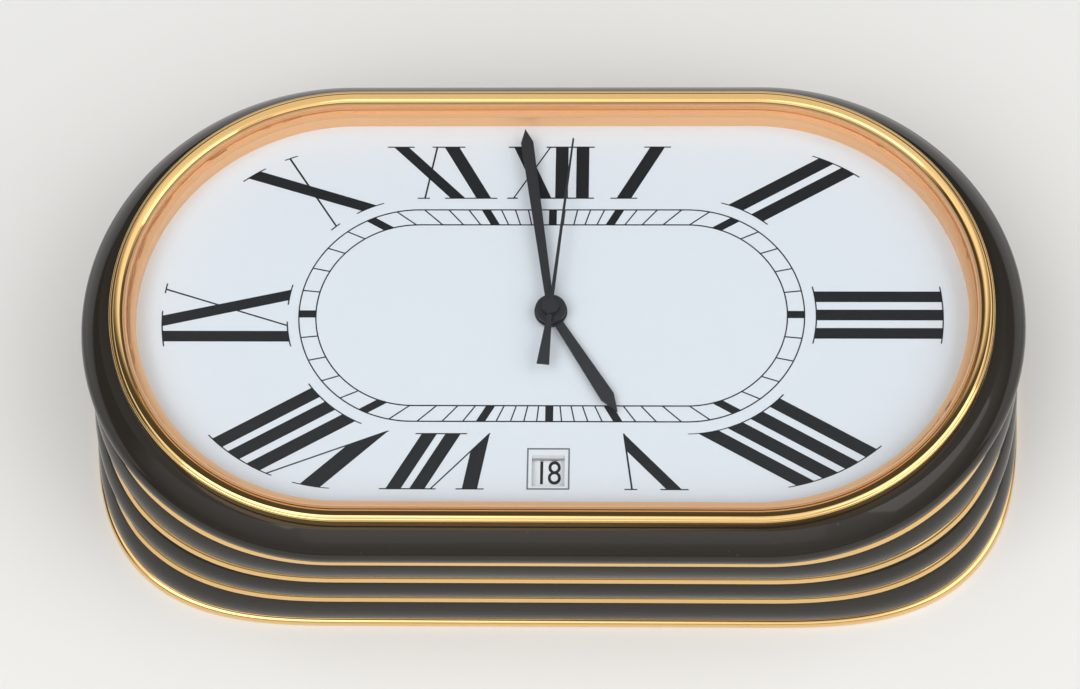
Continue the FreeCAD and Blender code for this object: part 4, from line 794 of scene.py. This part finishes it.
def draw_window_frame():
    """Thin printed frame round the date window."""
    work = bmesh.new()
    wide, tall, line, middle = 6.65 * MM, 7.0 * MM, 0.24 * MM, -26.6 * MM
    x, y = wide / 2, tall / 2
    for low_x, low_y, high_x, high_y in ((-x, -y, x, -y + line), (-x, y - line, x, y),
                                         (-x, -y + line, -x + line, y - line),
                                         (x - line, -y + line, x, y - line)):
        add_prism(work, [(low_x, middle + low_y), (high_x, middle + low_y),
                         (high_x, middle + high_y), (low_x, middle + high_y)],
                  DIAL_FACE, INK_THICK)
    inked("window_frame_print", work, material=WINDOW_GREY)


def build_window_bevel():
    """The white sloping edge at the top of the date window."""
    half, edge, slope, foot = 2.55 * MM, -24.3 * MM, 0.42 * MM, DATE_FACE + 0.10 * MM
    corners = ((edge, foot), (edge - slope, foot), (edge, DIAL_FACE))
    points = [(x, y, z) for x in (-half, half) for y, z in corners]
    mesh = mesh_from("window_bevel", points, [(0, 1, 2), (5, 4, 3), (0, 3, 4, 1), (1, 4, 5, 2),
                                              (2, 5, 3, 0)])
    mesh.materials.append(DATE_WHITE)
    finish_piece(add_object("window_bevel", shade(mesh)), "case")


def draw_minute_track():
    """Two thin stadium lines with the minutes' bars between them."""
    half, top = INK_LINE / 2, DIAL_FACE + INK_THICK * 1.2
    for name, reach in (("track_line_outer", TRACK_OUTER), ("track_line_inner", TRACK_INNER)):
        line = outline((reach - half, DIAL_FACE, 0), (reach + half, DIAL_FACE, 0),
                       (reach + half, top, 0), (reach - half, top, 0))
        swept_ring(name, TRACK_SPINE, line, PRINT, (), TRACK_STEPS)
    bars = grow("minute_bars", build_minute_bars(build_outline_meeting()), count=60,
                spine=TRACK_SPINE, inner=TRACK_INNER, outer=TRACK_OUTER, line=INK_LINE,
                bar=MINUTE_BAR, face=DIAL_FACE, ink=INK_THICK, finish=PRINT)
    finish_piece(bars, "case")


draw_numerals()
draw_window_frame()
build_window_bevel()
draw_minute_track()


# ---------------------------------------------------------------- hands
BLADE_BEVEL, BOSS_BEVEL, COLLAR_BEVEL = 0.05 * MM, 0.08 * MM, 0.12 * MM
BOSS_PROUD = 0.02 * MM         # how far a boss stands out of its blade, above and below
COLLARED_THICK = 0.2 * MM      # thickness of a hand that has a collar
COLLAR_PROUD = 0.05 * MM       # how far the collar covers its arbor


def turned(points, angle):
    """Points turned clockwise by an angle in degrees, seen from the front."""
    turn = Matrix.Rotation(-angle * DEGREE, 2)
    return [turn @ Vector(point) for point in points]


def disc_points(radius, count=48):
    return [Vector((math.cos(2 * math.pi * i / count), math.sin(2 * math.pi * i / count))) * radius
            for i in range(count)]


def crisp_solid(work, corners, floor, height, edge):
    """Prism with its upper edges bevelled."""
    add_prism(work, [tuple(p) for p in corners], floor, height)
    work.edges.ensure_lookup_table()
    top = floor + height
    rims = [e for e in work.edges if all(abs(v.co.z - top) < 1e-8 for v in e.verts)
            and len(e.link_faces) == 2]
    bmesh.ops.bevel(work, geom=rims, offset=edge, segments=2, affect="EDGES", clamp_overlap=True)


def build_hand(node, body, angle, blade, boss, collar=None):
    """A flat hand with bevelled edges: its blade, its round boss and any collar over it."""
    floor, height = low(node).z, high(node).z - low(node).z
    thick = COLLARED_THICK if collar else height
    parts = [(turned(blade, angle), floor, thick, BLADE_BEVEL),
             (turned(disc_points(boss), angle), floor - BOSS_PROUD, thick + 2 * BOSS_PROUD,
              BOSS_BEVEL)]
    if collar:
        parts.append((disc_points(collar), floor, height + COLLAR_PROUD, COLLAR_BEVEL))
    whole = bmesh.new()
    for points, base, tall, edge in parts:
        work = bmesh.new()
        crisp_solid(work, points, base, tall, edge)
        part = mesh_of("part", work)
        whole.from_mesh(part)
        bpy.data.meshes.remove(part)
    mesh = shade(mesh_of("slate_" + node, whole))
    mesh.materials.append(SLATE)
    finish_piece(add_object("slate_" + node, mesh), body, [node])


def blade_points(root, wide, shoulder, length, tail_wide=0.0, tail=0.0):
    """Outline of a hand that points to twelve, from widths and places along it in mm."""
    right = [(root / 2, 0), (wide / 2, shoulder), (0, length)]
    if tail:
        right = [(tail_wide / 2, -tail)] + right
    left = [(-x, y) for x, y in right[::-1] if x > 0]
    return [(x * MM, y * MM) for x, y in right + left]


build_hand("hour_hand", "hour", 148.4, blade_points(1.3, 2.3, 17.3, 20.4), 2.6 * MM)
build_hand("minute_hand", "minute", 351.8, blade_points(1.2, 2.0, 30.1, 32.6), 2.45 * MM)
build_hand("second_hand", "second", 6.0, blade_points(0.6, 0.3, 30.2, 30.5, 2.0, 10.0),
           1.3 * MM, collar=1.3 * MM)


# ---------------------------------------------------------------- date figures
DAYS, DAY_SHOWN = 31, 18
DAY_REACH = 26.80 * MM         # from the ring's centre to the middle of a figure
DAY_SHIFT = -0.06 * MM
DAY_TALL, DAY_NARROW = 3.95 * MM, 0.82
DAY_FLAT = 0.01                # squashes the letters' thickness to that of a print


def draw_date_figures():
    """The days of the month round the date ring, upright where the window shows them."""
    work = bmesh.new()
    for day in range(1, DAYS + 1):
        letters = bpy.data.curves.new("day", "FONT")
        letters.body, letters.align_x, letters.align_y = str(day), "CENTER", "CENTER"
        letters.size, letters.extrude, letters.space_character = 1.0, 0.002, 0.86
        piece = add_object("day", letters)
        mesh = baked(piece)
        bpy.data.objects.remove(piece)
        heights = [v.co.y for v in mesh.vertices]
        scale = DAY_TALL / (max(heights) - min(heights))
        centred = Matrix.Translation((0, -(max(heights) + min(heights)) / 2, 0))
        sized = Matrix.Diagonal((scale * DAY_NARROW, scale, DAY_FLAT, 1))
        placed = Matrix.Translation((DAY_SHIFT, -DAY_REACH, DATE_FACE))
        turn = Matrix.Rotation(-(day - DAY_SHOWN) * 2 * math.pi / DAYS, 4, "Z")
        mesh.transform(turn @ placed @ sized @ centred)
        work.from_mesh(mesh)
        bpy.data.meshes.remove(mesh)
    bmesh.ops.remove_doubles(work, verts=work.verts, dist=SAME_PLACE)
    inked("date_figures", work, body="date_ring")


draw_date_figures()


# ---------------------------------------------------------------- pieces kept from the solids
def dress(material, *nodes):
    """Give nodes whose shape is right their finish."""
    for node in nodes:
        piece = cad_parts[node]
        for place in piece.material_slots:
            place.material = material


FLAT_ANGLE = 1 * DEGREE        # edges flatter than this are dissolved
SOFT_ANGLE = 35 * DEGREE       # edges sharper than this are rounded
SHARP_ANGLE = 40 * DEGREE      # edges sharper than this stay sharp to the eye


def softened(node, body, material, width):
    """A copy of a node with its sharp edges rounded off by width."""
    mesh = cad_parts[node].data.copy()
    mesh.name = "soft_" + node
    work = bmesh.new()
    work.from_mesh(mesh)
    bmesh.ops.remove_doubles(work, verts=work.verts, dist=1e-6)
    bmesh.ops.dissolve_limit(work, angle_limit=FLAT_ANGLE, verts=work.verts, edges=work.edges)
    sharp = [e for e in work.edges if len(e.link_faces) == 2 and e.calc_face_angle(0) > SOFT_ANGLE]
    bmesh.ops.bevel(work, geom=sharp, offset=width, segments=2, affect="EDGES", clamp_overlap=True)
    bmesh.ops.triangulate(work, faces=[f for f in work.faces if len(f.verts) > 4])
    work.to_mesh(mesh)
    work.free()
    mesh.shade_smooth()
    mesh.set_sharp_from_angle(angle=SHARP_ANGLE)
    mesh.materials.clear()
    mesh.materials.append(material)
    piece = add_object("rounded_" + node, mesh)
    even = piece.modifiers.new("even", "WEIGHTED_NORMAL")    # so that flats look flat
    even.keep_sharp, even.weight = True, 100
    piece.data = baked(piece)
    piece.modifiers.clear()
    finish_piece(piece, body, [node])


dress(DIAL, "dial")
dress(GLASS, "crystal")
dress(SEAT, "crystal_gasket")
dress(RUBBER, "hatch_gasket")
dress(DATE_WHITE, "date_ring")
dress(PALE_PLASTIC, "movement_spacer", "movement_plate", "movement_bridge", "movement_pillars",
      "date_wheel", "motion_wheel", "hour_wheel", "third_wheel", "second_wheel")
dress(GREY_PLASTIC, "movement_cover", "battery_cradle", "rotor_housing")
dress(BRASS, "centre_wheel")
dress(STEEL, "date_keeper", "movement_screws", "motor_stator", "quartz_can")
dress(COPPER, "motor_coil")
dress(BOARD, "circuit_board")
dress(JACKET, "battery")
dress(NICKEL, "battery_contacts")
dress(BACK_GOLD, "inner_frame")
softened("back_plate", "case", LACQUER, 0.2 * MM)
softened("battery_hatch", "hatch", LACQUER, 0.15 * MM)
softened("back_screws", "case", BACK_GOLD, 0.1 * MM)
softened("setting_knob", "motion", BACK_GOLD, 0.12 * MM)
softened("date_corrector", "corrector", BACK_GOLD, 0.12 * MM)
softened("strut", "strut", BACK_GOLD, 0.15 * MM)
dress(STEEL, "strut_pin")


# ---------------------------------------------------------------- floor, light and camera
def build_floor():
    """Plain pale table, see-through from below."""
    half = 3
    table = add_object("table_top", mesh_from("table_top", [
        (-half, -half, 0), (half, -half, 0), (half, half, 0), (-half, half, 0)], [(0, 1, 2, 3)]))
    material, tree, shader = new_material("pale_table")
    mottled = blend_colours(tree, noise(tree, 9.0, 3.0), (0.855, 0.85, 0.83), (0.825, 0.82, 0.80))
    wire(tree, shader, Base_Color=mottled, Roughness=0.5)
    clear = put(tree, "ShaderNodeBsdfTransparent")
    below = put(tree, "ShaderNodeNewGeometry").outputs["Backfacing"]
    mix = put(tree, "ShaderNodeMixShader", i0=below, i1=shader, i2=clear)
    wire(tree, tree.nodes["Material Output"], Surface=mix)
    table.data.materials.append(material)


def soft_box(name, place, size, strength, target=(0, 0, 0.02)):
    """Square lamp facing the object; strength is the brightness of its face."""
    data = bpy.data.lights.new(name, "AREA")
    data.shape, data.size, data.size_y = "RECTANGLE", size[0], size[1]
    data.energy = strength * math.pi * size[0] * size[1]
    lamp = add_object(name, data)
    lamp.location = place
    lamp.rotation_euler = (Vector(target) - Vector(place)).to_track_quat("-Z", "Y").to_euler()


def toward(tree, way, azimuth, rise, start, full):
    """1 within full degrees of the direction of an azimuth from twelve and a rise, 0 past start."""
    aim = (math.sin(azimuth * DEGREE) * math.cos(rise * DEGREE),
           math.cos(azimuth * DEGREE) * math.cos(rise * DEGREE), math.sin(rise * DEGREE))
    near = maths_vector(tree, "DOT_PRODUCT", way, aim)
    return ramp(tree, near, (math.cos(start * DEGREE), 0.0), (math.cos(full * DEGREE), 1.0))


# Brightness of the room by the sine of a direction's rise
CEILING = ((0.02, 0.06), (0.26, 0.48), (0.57, 0.88), (0.80, 1.16), (0.90, 1.12), (0.98, 0.84))
LOW_BACK, FLAG, BACKDROP = 0.12, 0.08, 0.75    # and of what is darker or paler in it


def build_world():
    """Pale room: bright above, dim at the horizon, two dark flags, and a pale strip far behind."""
    world = bpy.data.worlds.new("pale_room")
    bpy.context.scene.world = world
    world.use_nodes = True
    tree = world.node_tree
    shader = tree.nodes["Background"]
    way = put(tree, "ShaderNodeTexCoord").outputs["Generated"]
    parts = put(tree, "ShaderNodeSeparateXYZ", Vector=way)
    rise, along = parts.outputs["Z"], parts.outputs["Y"]
    low_back = maths(tree, "MULTIPLY", ramp(tree, rise, (0.45, 1.0), (0.65, 0.0)),
                     map_range(tree, along, 0.05, 0.35))
    room = blend_colours(tree, low_back, ramp(tree, rise, *CEILING), grey(LOW_BACK))
    flags = maths(tree, "MAXIMUM", toward(tree, way, 0, 43, 31, 20),
                  toward(tree, way, -72, 16, 38, 26))
    room = blend_colours(tree, flags, room, grey(FLAG))
    backdrop = maths(tree, "MULTIPLY", ramp(tree, rise, (0.30, 1.0), (0.42, 0.0)),
                     map_range(tree, along, 0.78, 0.92))
    room = blend_colours(tree, backdrop, room, grey(BACKDROP))
    wire(tree, shader, Color=room, Strength=1.0)


def build_camera():
    """Long lens above the front edge, turned and rolled a little."""
    data = bpy.data.cameras.new("main_camera")
    data.lens, data.sensor_width, data.clip_start = 116.67, 36.0, 0.01
    camera = add_object("main_camera", data)
    rise, swing, roll, distance = 64.612 * DEGREE, 5.256 * DEGREE, -4.662 * DEGREE, 551.2 * MM
    target = Vector((-1.66, -5.29, 27.9)) * MM
    back = Vector((math.sin(swing) * math.cos(rise), -math.cos(swing) * math.cos(rise),
                   math.sin(rise)))
    right = (-back).cross(Vector((0, 0, 1))).normalized()
    up = right.cross(-back)
    axis_x = right * math.cos(roll) + up * math.sin(roll)
    axis_y = up * math.cos(roll) - right * math.sin(roll)
    turn = Matrix((axis_x, axis_y, back)).transposed().to_4x4()
    camera.matrix_world = Matrix.Translation(target + back * distance) @ turn
    bpy.context.scene.camera = camera


build_floor()
build_world()
soft_box("left_soft_box", (-0.45, -0.45, 1.00), (0.8, 0.8), 1.8)
soft_box("right_soft_box", (0.75, -0.30, 0.75), (0.9, 0.9), 1.15)
soft_box("front_soft_box", (0.05, -0.90, 0.60), (0.7, 0.4), 0.25)
build_camera()
bpy.context.scene.view_settings.view_transform = "Standard"
